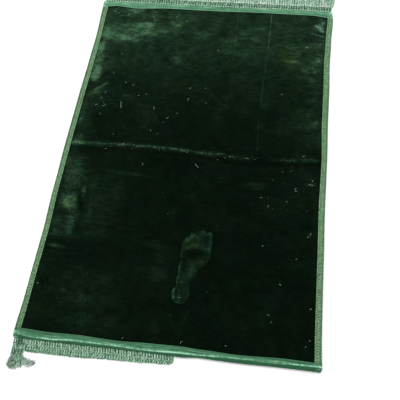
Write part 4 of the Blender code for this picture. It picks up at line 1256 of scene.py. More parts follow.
def yarn_mesh(name, bundles):
    """One mesh of round yarns. A bundle has paths (yarn, point, xyz) in metres, the
    yarns' radius, how many sides they have, and their shade and soiling, each for the
    whole bundle, for each yarn, or for each point. No yarn reaches below the floor."""
    points, faces, shades, soilings = [], [], [], []
    start = 0
    for paths, radius, sides, shade, soiling in bundles:
        paths = np.asarray(paths)
        yarns, count = paths.shape[:2]
        tangent = unit(np.gradient(paths, axis=1))
        upright = np.abs(tangent[:, 0, 2:3]) > 0.8
        side = np.where(upright, np.array((1.0, 0.0, 0.0)), np.array((0.0, 0.0, 1.0)))
        sides_way, sides_up = [], []
        for step in range(count):
            along = tangent[:, step]
            side = unit(side - along * np.sum(side * along, axis=1, keepdims=True))
            sides_way.append(side)
            sides_up.append(np.cross(along, side))
        way = np.stack(sides_way, 1)[:, :, None, :]
        up = np.stack(sides_up, 1)[:, :, None, :]
        angle = (np.arange(sides) * 2.0 * math.pi / sides)[None, None, :, None]
        ring = paths[:, :, None, :] + (way * np.cos(angle) + up * np.sin(angle)) * radius
        ring[..., 2] = np.maximum(ring[..., 2], 0.0)
        points.append(ring.reshape(-1, 3))
        for values, kept in ((shade, shades), (soiling, soilings)):
            values = np.asarray(values, float)
            values = values[:, None] if values.ndim == 1 else values
            kept.append(np.repeat(np.broadcast_to(values, (yarns, count)).ravel(), sides))
        number = np.arange(yarns * count * sides).reshape(yarns, count, sides) + start
        after = np.roll(number, -1, axis=2)
        quads = np.stack([number[:, :-1], after[:, :-1], after[:, 1:], number[:, 1:]], 3)
        faces += quads.reshape(-1, 4).tolist()
        faces += number[:, 0, ::-1].tolist() + number[:, -1].tolist()
        start += yarns * count * sides
    values = {"shade": np.concatenate(shades), "soiling": np.concatenate(soilings)}
    return new_mesh(name, np.concatenate(points), faces, YARN_SHARP, values)


def running_stitches(line, normals, rng):
    """Paths of stitches that follow a seam's line over the cloth."""
    run = np.concatenate([[0.0], np.cumsum(np.linalg.norm(np.diff(line, axis=0), axis=1))])
    starts = np.arange(2 * MM, run[-1] - STITCH_PITCH, STITCH_PITCH)
    starts = starts + rng.uniform(-STITCH_SLIP, STITCH_SLIP, len(starts)) * MM
    shares = np.array(STITCH_SHARES)
    rise = np.array((-STITCH_SINK, STITCH_RISE * 0.5, STITCH_RISE, STITCH_RISE * 0.5,
                     -STITCH_SINK))
    places = starts[:, None] + shares[None, :] * STITCH_LENGTH
    paths = np.stack([np.interp(places, run, line[:, axis]) for axis in range(3)], 2)
    way = unit(paths[:, -1] - paths[:, 0])
    slant = STITCH_SLANT * (1.0 + SLANT_STRAY * rng.uniform(-1.0, 1.0, len(starts)))
    aside = np.cross(way, normals)
    moved = (shares - 0.5)[None, :, None] * STITCH_LENGTH * slant[:, None, None]
    return paths + moved * aside[:, None, :] + rise[None, :, None] * normals


def corner_stitches():
    """Paths of the larger stitches over the satin of the corners."""
    tops = np.concatenate([top.reshape(-1, 3) for top in satin_tops])
    paths = []
    for x, y, length, turn in CORNER_STITCHES:
        along = np.array((math.cos(math.radians(turn)), math.sin(math.radians(turn))))
        points = []
        for share, rise in CORNER_RISE:
            place = np.array((x, y)) * MM + along * share * length * MM
            nearest = tops[np.argmin(np.sum((tops[:, :2] - place) ** 2, axis=1))]
            points.append((*place, nearest[2] + rise * MM))
        paths.append(points)
    return np.array(paths)


thread_finish, tree, thread_shader = new_finish(
    "sewing_thread", Roughness=0.55, Specular_IOR_Level=0.2, Sheen_Weight=0.05,
    Sheen_Tint=(0.7, 1.0, 0.8, 1.0))
cloud, grain = uneven_cloth(tree, THREAD_CLOUD[0], THREAD_GRAIN[0])
shade = add_up(tree, attribute(tree, "shade"), (grain, THREAD_GRAIN[1]), (cloud, THREAD_CLOUD[1]))
dress(tree, thread_shader, graded(tree, shade, THREAD_COLOURS), grain, 0.5, 0.1 * MM)

rng = np.random.default_rng(10)
up = np.array((0.0, 0.0, 1.0))
stitch_bundles = []
for name, line in seams.items():
    paths = running_stitches(line, up, rng)
    light = SIDE_THREAD if name.startswith("side") else END_THREAD
    thread_shades = light + rng.uniform(-THREAD_STRAY, THREAD_STRAY, len(paths))
    stitch_bundles.append((paths, STITCH_RADIUS, 4, thread_shades, 0.0))
stitch_bundles.append((corner_stitches(), CORNER_STITCH_RADIUS, 6, CORNER_THREAD, 0.0))
stitch_mesh = yarn_mesh("sewn_stitches", stitch_bundles)
stitches = add_piece("sewn_stitches", stitch_mesh, [thread_finish], "fringe_yarn")


# ------------------------------------------------------------------------- far fringe
# A bought trimming of soft green yarn: leaning bars of four yarns on a thin net, painted near
# black as shade between the bars, a crocheted chain across them, crossed yarns, small knots,
# and then loose strands. The far one lies open on the floor, its heading sewn under the roll
# of the satin tape.
LOCK_COUNT = 112  # locks along one fringe
FAR_SPAN = (-401 * MM, 397 * MM)  # a fringe's first and last x
NEAR_SPAN = (-398 * MM, 390 * MM)
FRINGE_REACH = 78.0  # mm, full length of a lock past the tape
# Radius (mm) and sides of the yarns of each kind; a net lies behind the bars, and curls
# have worked loose from the near fringe's tail.
YARNS = {"bar": (0.47, 5), "knot": (0.50, 4), "chain": (0.45, 4), "loop": (0.65, 4),
         "net": (0.42, 4), "strand": (0.50, 4), "tail": (0.42, 5), "curl": (0.26, 4)}
YARN_SPACING = 1.10  # mm between the yarns of a bar
CHAIN_POINTS = 6  # mesh points of a chain's yarn for each lock
NET_START, NET_STEP = -3.5, 0.95  # mm from the roll, and between the threads of the net
NET_SWELLS, NET_DROP = ((0.25, 6, 1000, 81),), 0.38  # mm below the middle of the yarns
LAY_HEIGHT = 0.80  # mm, the middle of a yarn that lies on the floor
KNOT_WIDTH = 2.6  # mm, a lock at its knot
LOCK_STRANDS, LOCK_WIDTH, LOCK_POINTS = 7, 6.9, 10  # of a loose lock; its width is in mm
STRAND_WAVES, STRAND_TURNS = (0.15, 0.75), (9.0, 19.0)  # mm to each side; radians in all
STRAND_HEIGHTS, STRAND_LENGTHS = (-0.25, 0.8), (-0.08, 0.02)  # mm; share of the length
BAR_LEAN, LEAN_STRAY = 1.1, 0.9  # mm to each side, and how far it differs
BAR_STRAY = 0.8  # mm, how far a bar stands from its place
CROSSING_RISE = 0.55  # mm, of a yarn that crosses over another
CHAIN_WAVE, CHAIN_HEIGHTS = 1.15, (0.80, 0.35)  # mm, its swing aside, its height and swing up
CHAIN_STRAYS = ((0.35, 20, 0),)
CHAIN_PLACE = 11.5  # mm from the roll
LOOP_PITCH = 8.6 * MM  # of the loops that hold the bars at the heading
LOOP_LAPS, LOOP_BOW, LAP_STEP, LOOP_STRAY = 3, 2.4, 1.2, 0.7  # bow of the first lap (mm)
LOOP_HALF_WIDTH = 1.9 * MM
KNOT_LAPS, KNOT_LAP_STEP, KNOT_SLIP = 2, 1.2, 0.6  # mm
KNOT_HALF_WIDTH, KNOT_RISE = 2.2 * MM, 1.0
KNOT_PLACE = 23.5
FLARE_START = 350 * MM  # past this the far locks spread
RIGHT_FLARE = 9.0  # mm
LEFT_FLARE = 4.0
YARN_COLOURS = (  # shade of a yarn, colour
    (0.0, (0.016, 0.066, 0.030)), (0.2, (0.055, 0.160, 0.085)), (0.5, (0.175, 0.360, 0.225)),
    (0.75, (0.330, 0.530, 0.385)), (1.0, (0.600, 0.760, 0.620)),
)
SOILED_COLOUR = (0.230, 0.215, 0.250, 1.0)
YARN_SHADE = 0.54  # how far single yarns differ
# The net is near black: painted shade in the gaps between the bars.
NET_PAINTED_SHADE = 0.02
# Shades of the far fringe's yarns; its bars have one above the chain and one past it.
FAR_BAR_SHADES, FAR_KNOT_SHADE, FAR_CHAIN_SHADE = (0.43, 0.58), 0.60, 0.5
FAR_LOOP_SHADE, FAR_STRAND_SHADE = 1.0, 0.55
FAR_SPECKLE, LOOSE_SPECKLE, NEAR_SPECKLE = 0.80, 0.50, 0.46  # how far spots differ
FAR_SPOTS, NEAR_SPOTS = 8.6 * MM, 5.2 * MM  # how far apart they are
SPOT_DEPTH = 1.8  # their depth, as a share of that
TWIST_SCALE, TWIST_SHADE = 380.0, 0.24
YARN_CLOUD, YARN_GRAIN = (260.0, 1.5), (1800.0, 0.4)  # scale per metre, amount
YARN_DARKENING = 0.12


def refined(paths, finer):
    """Smooth paths with this many steps for each step of the given ones."""
    paths = np.asarray(paths)
    count = paths.shape[1]
    weights = spline_weights(count, np.linspace(0, count - 1, (count - 1) * finer + 1))
    return np.einsum("pr,yrc->ypc", weights, paths)


def lock_places(span):
    """x of the middle of each lock of a fringe."""
    pitch = (span[1] - span[0]) / LOCK_COUNT
    return span[0] + (np.arange(LOCK_COUNT) + 1) * pitch - 1.8 * MM


def bundle(kind, paths, shade, soiling=0.0):
    """A bundle of yarns of one kind, for yarn_mesh."""
    radius, sides = YARNS[kind]
    return paths, radius * MM, sides, shade, soiling


def worked_bars(rng, places, half_pitch):
    """The bars and the crossed yarns below them, lying flat. The points are x (m),
    distance from the roll (mm) and height over the floor (mm)."""
    bars = []
    for x in places:
        lean = (BAR_LEAN + rng.uniform(-LEAN_STRAY, LEAN_STRAY)) * MM
        x = x + rng.uniform(-BAR_STRAY, BAR_STRAY) * MM
        for yarn in range(4):
            offset = (yarn - 1.5) * YARN_SPACING * MM
            turn = rng.uniform(-0.2, 0.2, 3) * MM
            way = -1 if yarn < 2 else 1
            over = CROSSING_RISE if way < 0 else 0.0
            knot_x = x + way * half_pitch - way * 0.3 * YARN_SPACING * MM
            knot_x += (yarn % 2 - 0.5) * 0.6 * YARN_SPACING * MM
            bars.append([
                (x - lean + offset, -4.5, LAY_HEIGHT),
                (x - lean + offset, 0.5, LAY_HEIGHT),
                (x - 0.6 * lean + 1.05 * offset + turn[0], 3.5, LAY_HEIGHT + 0.30),
                (x + 0.4 * lean + 1.05 * offset + turn[1], 7.5, LAY_HEIGHT + 0.35),
                (x + lean + 0.8 * offset, 10.5, LAY_HEIGHT + 0.1),
                (x + lean + 0.6 * offset, 12.5, LAY_HEIGHT),
                (x + 0.7 * lean + 0.9 * offset + way * 0.6 * MM, 15.0, LAY_HEIGHT + over),
                (x + way * 0.55 * half_pitch + 0.3 * offset + turn[2], 18.5,
                 LAY_HEIGHT + over + 0.1),
                (knot_x - way * 0.5 * MM, 21.5, LAY_HEIGHT + 0.3 * over),
                (knot_x, KNOT_PLACE, LAY_HEIGHT),
                (knot_x, KNOT_PLACE + 2.0, LAY_HEIGHT)])
    return np.array(bars)


def small_knots(rng, places, half_pitch):
    """A knot of two laps round the yarns between each two locks, lying flat."""
    knots = []
    for x in places:
        slip = rng.uniform(-KNOT_SLIP, KNOT_SLIP)
        for lap in range(KNOT_LAPS):
            place = KNOT_PLACE + slip + (lap - 0.5) * KNOT_LAP_STEP
            knots.append([(x + half_pitch + KNOT_HALF_WIDTH * math.cos(angle),
                           place + 0.35 * angle,
                           LAY_HEIGHT + 0.1 + KNOT_RISE * math.sin(angle))
                          for angle in np.linspace(-0.45, 1.3, 7) * math.pi])
    return np.array(knots)


def chain_yarns(places, half_pitch, out, seed):
    """The crocheted chain across the bars, lying flat."""
    chain = []
    first, last = places[0] - half_pitch, places[-1] + half_pitch
    for strand in range(3):
        x = np.linspace(first, last, CHAIN_POINTS * len(places) + 1)
        phase = (x - first) / (2 * half_pitch) * 2 * math.pi + strand * 2 * math.pi / 3
        drift = strays(x, CHAIN_STRAYS, seed + strand)
        height = LAY_HEIGHT + CHAIN_HEIGHTS[0] + CHAIN_HEIGHTS[1] * np.cos(2 * phase)
        chain.append(np.stack([x, out + CHAIN_WAVE * np.sin(phase) + drift, height], 1))
    return np.array(chain)


def heading_loops(rng, places):
    """Arched loops of the heading over the bars, three laps in each, lying flat."""
    loops = []
    for lap in range(LOOP_LAPS):
        for x in np.arange(places[0], places[-1], LOOP_PITCH):
            bow = LOOP_BOW + LAP_STEP * lap + rng.uniform(-LOOP_STRAY, LOOP_STRAY)
            x += rng.uniform(-LOOP_STRAY, LOOP_STRAY) * MM
            loops.append([(x + LOOP_HALF_WIDTH * math.cos(angle), 0.2 + bow * math.sin(angle),
                           LAY_HEIGHT + 1.0 + 0.3 * math.sin(angle))
                          for angle in np.linspace(1.0, 0.0, 6) * math.pi])
    return np.array(loops)


def net_threads(places, half_pitch, last_out):
    """Threads that run across behind the bars, lying flat; their near-black is painted shade in
    the gaps between the bars.
    """
    x = np.arange(places[0] - half_pitch * 0.9, places[-1] + half_pitch, half_pitch * 1.5)
    threads = []
    for row, out in enumerate(np.arange(NET_START, last_out, NET_STEP)):
        wave = swells(x, x * 0 + row, NET_SWELLS)
        threads.append(np.stack([x, out + wave, LAY_HEIGHT - NET_DROP + 0.1 * wave], 1))
    return np.array(threads)


def loose_strands(rng, places, half_pitch, stops, per_lock, spread):
    """Wavy strands that run on from the knots, lying flat. stops has the distances from
    the roll at which each lock's strands are placed; spread is a lock's width (mm)."""
    strands = []
    for x, out in zip(places + half_pitch, stops):
        sway = rng.uniform(-1.0, 1.0, 2)
        for strand in range(per_lock):
            share = (out - out[0]) / (out[-1] - out[0])
            place = (strand + 0.5) / per_lock - 0.5 + rng.uniform(-0.04, 0.04)
            wide = KNOT_WIDTH + (spread - KNOT_WIDTH) * soft_step(share, 0.0, 0.16)
            wave = rng.uniform(*STRAND_WAVES) * soft_step(share, 0.0, 0.2)
            turns = rng.uniform(*STRAND_TURNS)
            away = place * wide + sway[0] * share + sway[1] * share ** 2
            away = away + wave * np.sin(rng.uniform(0.0, 6.3) + turns * share)
            level = rng.uniform(*STRAND_HEIGHTS) * soft_step(share, 0.0, 0.25)
            length = 1.0 + rng.uniform(*STRAND_LENGTHS) * share
            strands.append(np.stack([x + away * MM, out[0] + (out - out[0]) * length,
                                     LAY_HEIGHT + level - 0.25 * share], 1))
    return np.array(strands)


def shades(rng, middle, count, spread=YARN_SHADE):
    """A shade for each of some yarns, around a middle one."""
    return middle + spread * rng.uniform(-0.5, 0.5, count)


def bar_shades(rng, bars, inner, outer):
    """Shades along the yarns of bars: one above the chain, another past it."""
    past = soft_step(bars[:, :, 1], CHAIN_PLACE - 3.0, CHAIN_PLACE + 4.0)
    return shades(rng, inner, len(bars))[:, None] + (outer - inner) * past


def speckled(shade, paths, amount, pitch):
    """Shades (one for each path, or for each of its points) made uneven in small spots,
    which follow each other at about this pitch: painted light and shade of single loops."""
    shade = shade if shade.ndim == 2 else shade[:, None]
    x, out = paths[..., 0], paths[..., 1] * MM
    wander = 1.6 * swell(x, out, 0.030, 0.020, 85)
    spots = np.cos(2 * math.pi * x / pitch + wander)
    spots = spots * (0.6 + 0.4 * np.cos(2 * math.pi * out / (SPOT_DEPTH * pitch) + wander))
    return shade + amount * (0.8 * spots + 0.4 * swell(x, out, 0.4 * pitch, 0.7 * pitch, 86))


yarn_finish, tree, yarn_shader = new_finish(
    "fringe_yarn", Roughness=0.75, Specular_IOR_Level=0.1, Sheen_Weight=0.06,
    Sheen_Roughness=0.4, Sheen_Tint=(0.7, 1.0, 0.8, 1.0))
cloud, grain = uneven_cloth(tree, YARN_CLOUD[0], YARN_GRAIN[0])
twist = add_node(tree, "ShaderNodeTexWave", {
    "Vector": own_place(tree), "Scale": TWIST_SCALE, "Distortion": 1.5, "Detail": 1.0},
    bands_direction="DIAGONAL").outputs["Fac"]
shade = add_up(tree, attribute(tree, "shade"), (cloud, YARN_CLOUD[1]), (twist, TWIST_SHADE),
               (grain, YARN_GRAIN[1]))
yarn_colour = graded(tree, calculate(tree, "SUBTRACT", shade, YARN_DARKENING), YARN_COLOURS)
soiled = add_node(tree, "ShaderNodeMix", {"Factor": attribute(tree, "soiling"),
                                          "A": yarn_colour, "B": SOILED_COLOUR},
                  data_type="RGBA").outputs["Result"]
yarn_height = add_up(tree, twist, (grain, YARN_GRAIN[1]))
dress(tree, yarn_shader, soiled, yarn_height, 0.5, 0.2 * MM)


def far_place(flat):
    """Flat points of the trimming as they lie past the far tape."""
    x, out, height = np.moveaxis(flat, -1, 0)
    share = np.clip(out / FRINGE_REACH, 0.0, 1.0)
    flare = RIGHT_FLARE * soft_step(x, FLARE_START, FAR_SPAN[1])
    flare = flare - LEFT_FLARE * soft_step(-x, FLARE_START, -FAR_SPAN[0])
    return np.stack([x + flare * share * MM, read(FAR_TAPE, x) + out * MM, height * MM], -1)


rng = np.random.default_rng(11)
far_locks = lock_places(FAR_SPAN)
half_pitch = (FAR_SPAN[1] - FAR_SPAN[0]) / LOCK_COUNT / 2
bars = worked_bars(rng, far_locks, half_pitch)
knots = small_knots(rng, far_locks, half_pitch)
chain = chain_yarns(far_locks, half_pitch, CHAIN_PLACE, 71)
loops = heading_loops(rng, far_locks)
net = net_threads(far_locks, half_pitch, KNOT_PLACE)
open_stops = np.broadcast_to(np.linspace(KNOT_PLACE, FRINGE_REACH, LOCK_POINTS),
                             (LOCK_COUNT, LOCK_POINTS))
loose = loose_strands(rng, far_locks, half_pitch, open_stops, LOCK_STRANDS, LOCK_WIDTH)
bar_shade = speckled(bar_shades(rng, bars, *FAR_BAR_SHADES), bars, FAR_SPECKLE, FAR_SPOTS)
knot_shade = shades(rng, FAR_KNOT_SHADE, len(knots))
chain_shade = shades(rng, FAR_CHAIN_SHADE, len(chain))
chain_shade = speckled(chain_shade, chain, FAR_SPECKLE, FAR_SPOTS)
loop_shade = shades(rng, FAR_LOOP_SHADE, len(loops))
net_shade = shades(rng, NET_PAINTED_SHADE, len(net))
loose_shade = shades(rng, FAR_STRAND_SHADE, len(loose))
loose_shade = speckled(loose_shade, loose, LOOSE_SPECKLE, FAR_SPOTS)
fringe_mesh = yarn_mesh("knotted_fringe_far", [
    bundle("bar", far_place(bars), bar_shade), bundle("knot", far_place(knots), knot_shade),
    bundle("chain", far_place(chain), chain_shade), bundle("loop", far_place(loops), loop_shade),
    bundle("net", far_place(net), net_shade), bundle("strand", far_place(loose), loose_shade)])
far_fringe = add_piece("knotted_fringe_far", fringe_mesh, [yarn_finish], "fringe_yarn",
                       "fringe_far")


# ------------------------------------------------------------------------ near fringe
# The same trimming at the near end, folded under along its knots, so that only the worked
# part shows, and from the middle to the right turned under at its heading. Five locks at
# the left corner hang out at full length and have come undone into a tangled tail.
# The line along which it is folded: x, y (mm).
NEAR_FOLD = ((-362, -640.0), (-240, -640.0), (-130, -635.5), (16, -631.5), (27, -627.0))
FOLD_STRAYS = ((0.7, 2.1, 91), (0.6, 8, 92))  # height, width (mm), seed
FOLD_RADIUS = TUCK_LIFT / 2
HIDDEN_SHIFT = 9.0  # mm further in, where the whole trimming is turned under
TURN_STRETCH = 16.0 * MM  # along which the heading turns from out to under
LOOSE_COUNT = 5  # locks of the tail
TAIL_STRANDS = 15  # strands of one lock of the tail
TAIL_UNDONE = (0.15, 0.7)  # share of a lock's length along which it has come undone
TAIL_KINKS, TAIL_TURNS = (0.5, 1.7), (16.0, 38.0)  # mm to each side; radians in all
TAIL_HEIGHTS, TAIL_HEIGHT = (0.0, 2.0), (0.5, 3.2)  # mm, of the strands; where they stay
FRIZZ_COUNT = 130  # short curls that have worked loose from the tail
FRIZZ_STEPS, FRIZZ_STEP, FRIZZ_TURN = 8, 1.15, 0.95  # how many, mm, radians at most
FRIZZ_HEIGHTS = (1.2, 3.2)
# Ways of the locks of the tail: x, y, width of the lock there (mm).
LOOSE_LOCKS = (
    ((-392.5, -622, 3.2), (-391.0, -640, 3.4), (-390.5, -655, 6.0),
     (-393.0, -669, 9.0), (-397.0, -682, 8.0)),
    ((-385.5, -622, 3.2), (-384.6, -640, 3.4), (-384.0, -656, 6.4),
     (-385.0, -671, 10.6), (-388.0, -687, 11.0)),
    ((-378.5, -622, 3.2), (-378.4, -640, 3.4), (-377.6, -656, 6.8),
     (-376.0, -671, 11.4), (-376.4, -688, 12.6)),
    ((-371.5, -622, 3.2), (-372.4, -640, 3.2), (-371.0, -655, 7.0),
     (-366.0, -669, 12.4), (-361.5, -682, 14.0)),
    ((-364.5, -622, 3.2), (-366.0, -640, 3.2), (-364.5, -654, 8.0),
     (-355.0, -664.0, 17.0), (-343.0, -668.0, 21.0), (-333.0, -667.0, 14.0),
     (-325.0, -665.0, 4.0)),
)
SOILED_FROM = (-372.0, -668.0)  # mm; the tips beyond this place are grey with dust
SOILED_REACH = 34.0
HIDDEN_STRANDS, HIDDEN_WIDTH, HIDDEN_POINTS = 3, 5.5, 6  # of a lock that is turned under
FOLDED_NET_END, TAIL_NET_END = 33.0, 44.0  # mm from the roll
# Shades: of the three kinds of locks, of the tail's knots, of strands and of curls.
TAIL_LIGHT, FOLDED_LIGHT, HIDDEN_LIGHT, CHAIN_DARKER = 0.40, 0.70, 0.6, 0.12
TAIL_KNOT_SHADE = 0.56
FOLDED_STRAND_SHADE, HIDDEN_STRAND_SHADE = 0.52, 0.4
TAIL_STRAND_SHADE, CURL_SHADE = 0.34, 0.60
TAIL_SHADE, TAIL_BAR_SHADE = 1.2, 1.3  # how far the tail's yarns differ


def fold_line(x):
    """y at which the folded fringe turns under; yarn by yarn it is slightly ragged."""
    return read(NEAR_FOLD, x) + MM * strays(x, FOLD_STRAYS)


def folded_place(flat):
    """Flat points of the trimming as they run out under the near roll and turn under."""
    x, out, height = flat[..., 0], flat[..., 1] * MM, (flat[..., 2] - LAY_HEIGHT) * MM
    roll = read(NEAR_TAPE, x)
    turn = roll - fold_line(x) - FOLD_RADIUS - YARNS["bar"][0] * MM
    past = np.clip((out - turn) / FOLD_RADIUS, 0.0, math.pi)
    rest = np.maximum(out - turn - math.pi * FOLD_RADIUS, 0.0)
    bulge = FOLD_RADIUS + height
    y = roll - np.minimum(out, turn) - np.sin(past) * bulge + rest
    z = LAY_HEIGHT * MM + FOLD_RADIUS + np.cos(past) * bulge
    return np.stack([x, y, np.maximum(z, 0.45 * MM)], -1)


def hidden_place(flat):
    """Flat points of the trimming where it is turned under the rug at its heading."""
    x, out, height = np.moveaxis(flat, -1, 0)
    level = np.minimum(height, LAY_HEIGHT + 0.1)
    return np.stack([x, read(NEAR_TAPE, x) + (HIDDEN_SHIFT + out) * MM, level * MM], -1)


def open_place(flat):
    """Flat points of the trimming where the tail leaves the near roll."""
    x, out, height = np.moveaxis(flat, -1, 0)
    raised = TUCK_LIFT * (1.0 - soft_step(out, 6.0, 22.0))
    return np.stack([x, read(NEAR_TAPE, x) - out * MM, raised + height * MM], -1)


def fold_stops(places):
    """Distances from the roll at which the folded strands are placed: close at the fold."""
    turn = (read(NEAR_TAPE, places) - fold_line(places) - FOLD_RADIUS) / MM
    steps = np.array((-2.4, -0.7, 0.0, 0.6, 1.2, 1.8, 2.5, 4.5, 10.0))
    return np.array([[min(15.5, at - 4.0), *(at + steps), at + 24.0, FRINGE_REACH]
                     for at in turn])


def tail_strands(rng):
    """Strands of the tail, and the short curls that have worked loose from it."""
    strands, curls = [], []
    for lock in LOOSE_LOCKS:
        way = np.array(lock)
        last = len(way) - 1.0
        for strand in range(TAIL_STRANDS):
            places = np.linspace(0.0, last - 0.5 * rng.uniform(0.0, 1.0) ** 2, 16)
            line = np.stack([np.interp(places, np.arange(len(way)), way[:, axis])
                             for axis in range(3)], 1)
            heading = unit(np.gradient(line[:, :2], axis=0))
            aside = np.stack([-heading[:, 1], heading[:, 0]], 1)
            spread = ((strand + 0.5) / TAIL_STRANDS - 0.5) + rng.uniform(-0.03, 0.03)
            share = places / last
            loose = soft_step(share, *TAIL_UNDONE)
            kinks = 0.35 + loose * rng.uniform(*TAIL_KINKS)
            across = spread * line[:, 2] + kinks * soft_step(share, 0.0, 0.1) * np.sin(
                rng.uniform(0.0, 6.3) + share * rng.uniform(*TAIL_TURNS))
            height = LAY_HEIGHT + 0.2 + rng.uniform(*TAIL_HEIGHTS) * (0.4 + 0.6 * loose)
            height = height + 0.4 * np.sin(rng.uniform(0.0, 6.3) + share * 21.0)
            strands.append(np.stack([line[:, 0] + aside[:, 0] * across,
                                     line[:, 1] + aside[:, 1] * across,
                                     np.clip(height, *TAIL_HEIGHT)], 1))
    for _ in range(FRIZZ_COUNT):
        lock = np.array(LOOSE_LOCKS[rng.integers(0, LOOSE_COUNT)])
        place = rng.uniform(1.5, len(lock) - 1.25)
        middle = [np.interp(place, np.arange(len(lock)), lock[:, axis]) for axis in range(3)]
        start = np.array(middle[:2]) + rng.uniform(-0.5, 0.5, 2) * middle[2]
        turn = rng.uniform(0.0, 2.0 * math.pi)
        points = [start]
        for _ in range(FRIZZ_STEPS):
            points.append(points[-1] + FRIZZ_STEP * np.array((math.cos(turn), math.sin(turn))))
            turn += rng.uniform(-FRIZZ_TURN, FRIZZ_TURN)
        level = rng.uniform(*FRIZZ_HEIGHTS)
        curls.append([(x, y, level) for x, y in points])
    return np.array(strands), np.array(curls)


def soiling(paths):
    """How grey the points of the tail (mm) are."""
    away = np.hypot(paths[..., 0] - SOILED_FROM[0], paths[..., 1] - SOILED_FROM[1])
    side = 1.0 - 0.65 * soft_step(paths[..., 0], SOILED_FROM[0], SOILED_FROM[0] + 20.0)
    return 0.85 * side * soft_step(away, 0.35 * SOILED_REACH, SOILED_REACH * 1.1) * (
        paths[..., 1] < SOILED_FROM[1] + 16.0)


rng = np.random.default_rng(12)
near_locks = lock_places(NEAR_SPAN)
half_pitch = (NEAR_SPAN[1] - NEAR_SPAN[0]) / LOCK_COUNT / 2
fold_end = NEAR_FOLD[-1][0] * MM
tail_locks = near_locks[:LOOSE_COUNT]
shown_locks = near_locks[LOOSE_COUNT:][near_locks[LOOSE_COUNT:] < fold_end - 1.8 * MM]
hidden_locks = near_locks[near_locks > fold_end + TURN_STRETCH]
bundles = []
for locks, laid, light in ((tail_locks, open_place, TAIL_LIGHT),
                           (shown_locks, folded_place, FOLDED_LIGHT),
                           (hidden_locks, hidden_place, HIDDEN_LIGHT)):
    bars = worked_bars(rng, locks, half_pitch)
    finer = 2 if laid is folded_place else 1
    bars = refined(bars, finer)
    spread = TAIL_BAR_SHADE if laid is open_place else YARN_SHADE
    spots = 0.0 if laid is open_place else NEAR_SPECKLE
    shade = speckled(shades(rng, light, len(bars), spread), bars, spots, NEAR_SPOTS)
    bundles.append(bundle("bar", laid(bars), shade))
    if laid is open_place:
        light = TAIL_KNOT_SHADE
    if laid is not hidden_place:
        knots = small_knots(rng, locks, half_pitch)
        chain = chain_yarns(locks, half_pitch, CHAIN_PLACE, 77)
        net_end = FOLDED_NET_END if laid is folded_place else TAIL_NET_END
        net = net_threads(locks, half_pitch, net_end)
        bundles += [bundle("knot", laid(knots), shades(rng, light, len(knots))),
                    bundle("chain", laid(chain), shades(rng, light - CHAIN_DARKER, len(chain))),
                    bundle("net", laid(net), shades(rng, NET_PAINTED_SHADE, len(net)))]
loose = loose_strands(rng, shown_locks, half_pitch, fold_stops(shown_locks),
                      LOCK_STRANDS, LOCK_WIDTH)
shade = shades(rng, FOLDED_STRAND_SHADE, len(loose))
bundles.append(bundle("strand", folded_place(loose), shade))
hidden_stops = np.broadcast_to(np.linspace(KNOT_PLACE, FRINGE_REACH, HIDDEN_POINTS),
                               (len(hidden_locks), HIDDEN_POINTS))
loose = loose_strands(rng, hidden_locks, half_pitch, hidden_stops, HIDDEN_STRANDS, HIDDEN_WIDTH)
shade = shades(rng, HIDDEN_STRAND_SHADE, len(loose))
bundles.append(bundle("strand", hidden_place(loose), shade))
strands, curls = tail_strands(rng)
for kind, paths, light in (("tail", refined(strands, 2), TAIL_STRAND_SHADE),
                           ("curl", refined(curls, 1), CURL_SHADE)):
    shade = shades(rng, light, len(paths), TAIL_SHADE)
    bundles.append(bundle(kind, paths * MM, shade, soiling(paths)))
fringe_mesh = yarn_mesh("knotted_fringe_near", bundles)
near_fringe = add_piece("knotted_fringe_near", fringe_mesh, [yarn_finish], "fringe_yarn",
                        "fringe_near")


# ------------------------------------------------------------------------------- lint
# Small curled fibres and crumbs of dust that have settled on the pile.
LINT_RADIUS = 0.28 * MM
LINT_LIFT = 0.25 * MM
# Where the larger fibres lie: x, y, length (mm), turn (degrees).
LINT_FIBRES = (
    (-303, 282, 6, 60), (-292, 365, 4, 50), (-129, 541, 6, 80), (-210, 534, 5, 30),
    (-202, 518, 5, -20), (-91, 525, 7, 20), (-343, 570, 7, 60), (-255, 245, 7, -40),
    (-229, 236, 8, -20), (-180, 203, 5, 90), (-147, 152, 12, 100), (-98, 117, 9, 60),
    (-71, 137, 6, 50), (-109, 99, 4, 0), (-120, 55, 7, 20), (-144, 66, 5, 80), (-42, 194, 8, 60),
    (-42, 237, 7, 70), (-255, 156, 27, 98), (-315, 115, 7, 120), (-258, 43, 5, -30),
    (16, -48, 16, -60), (-148, -57, 8, 100), (250, 236, 6, 0), (15, 183, 5, 90), (6, 242, 5, 70),
    (322, 436, 8, 20), (30, 402, 7, 0), (214, -137, 5, 0), (236, -162, 7, 60), (287, -143, 5, 90),
    (310, -100, 8, 70), (312, -107, 6, 20), (270, -45, 5, 10), (295, -41, 4, 0), (353, -82, 15, 8),
    (358, -68, 6, -20), (358, -238, 8, 80), (352, -247, 7, 30), (229, -285, 4, 90),
    (323, -315, 5, 0), (284, -392, 6, 20), (366, -450, 7, 35), (367, -533, 4, 60),
    (-372, -456, 7, -30), (-110, -579, 6, 60), (42, -572, 9, 95), (157, -569, 6, 0),
    (258, -478, 6, -20), (267, -495, 5, 20), (357, -550, 3, 200), (-220, 10, 6, 30),
    (-186, 8, 5, 0), (-120, 6, 6, 50), (-18, -1, 8, 20), (-271, -12, 5, 0), (163, -9, 8, 10),
    (110, -8, 6, -20), (75, -20, 5, 0), (329, 14, 7, 30), (-205, 195, 6, 95), (-324, 178, 8, 70),
    (-311, 148, 10, 30), (-335, 150, 7, 0), (-372, 92, 7, 80), (358, 524, 16, -42),
    (363, 518, 14, -44), (368, 511, 11, -40), (353, 529, 10, -46), (370, 541, 5, -60),
    (361, 527, 12, -45), (366, 520, 9, -38), (-352, 556, 7, 10), (-336, 549, 6, -15),
    (-300, 540, 7, 25), (-279, 551, 6, 0),
)
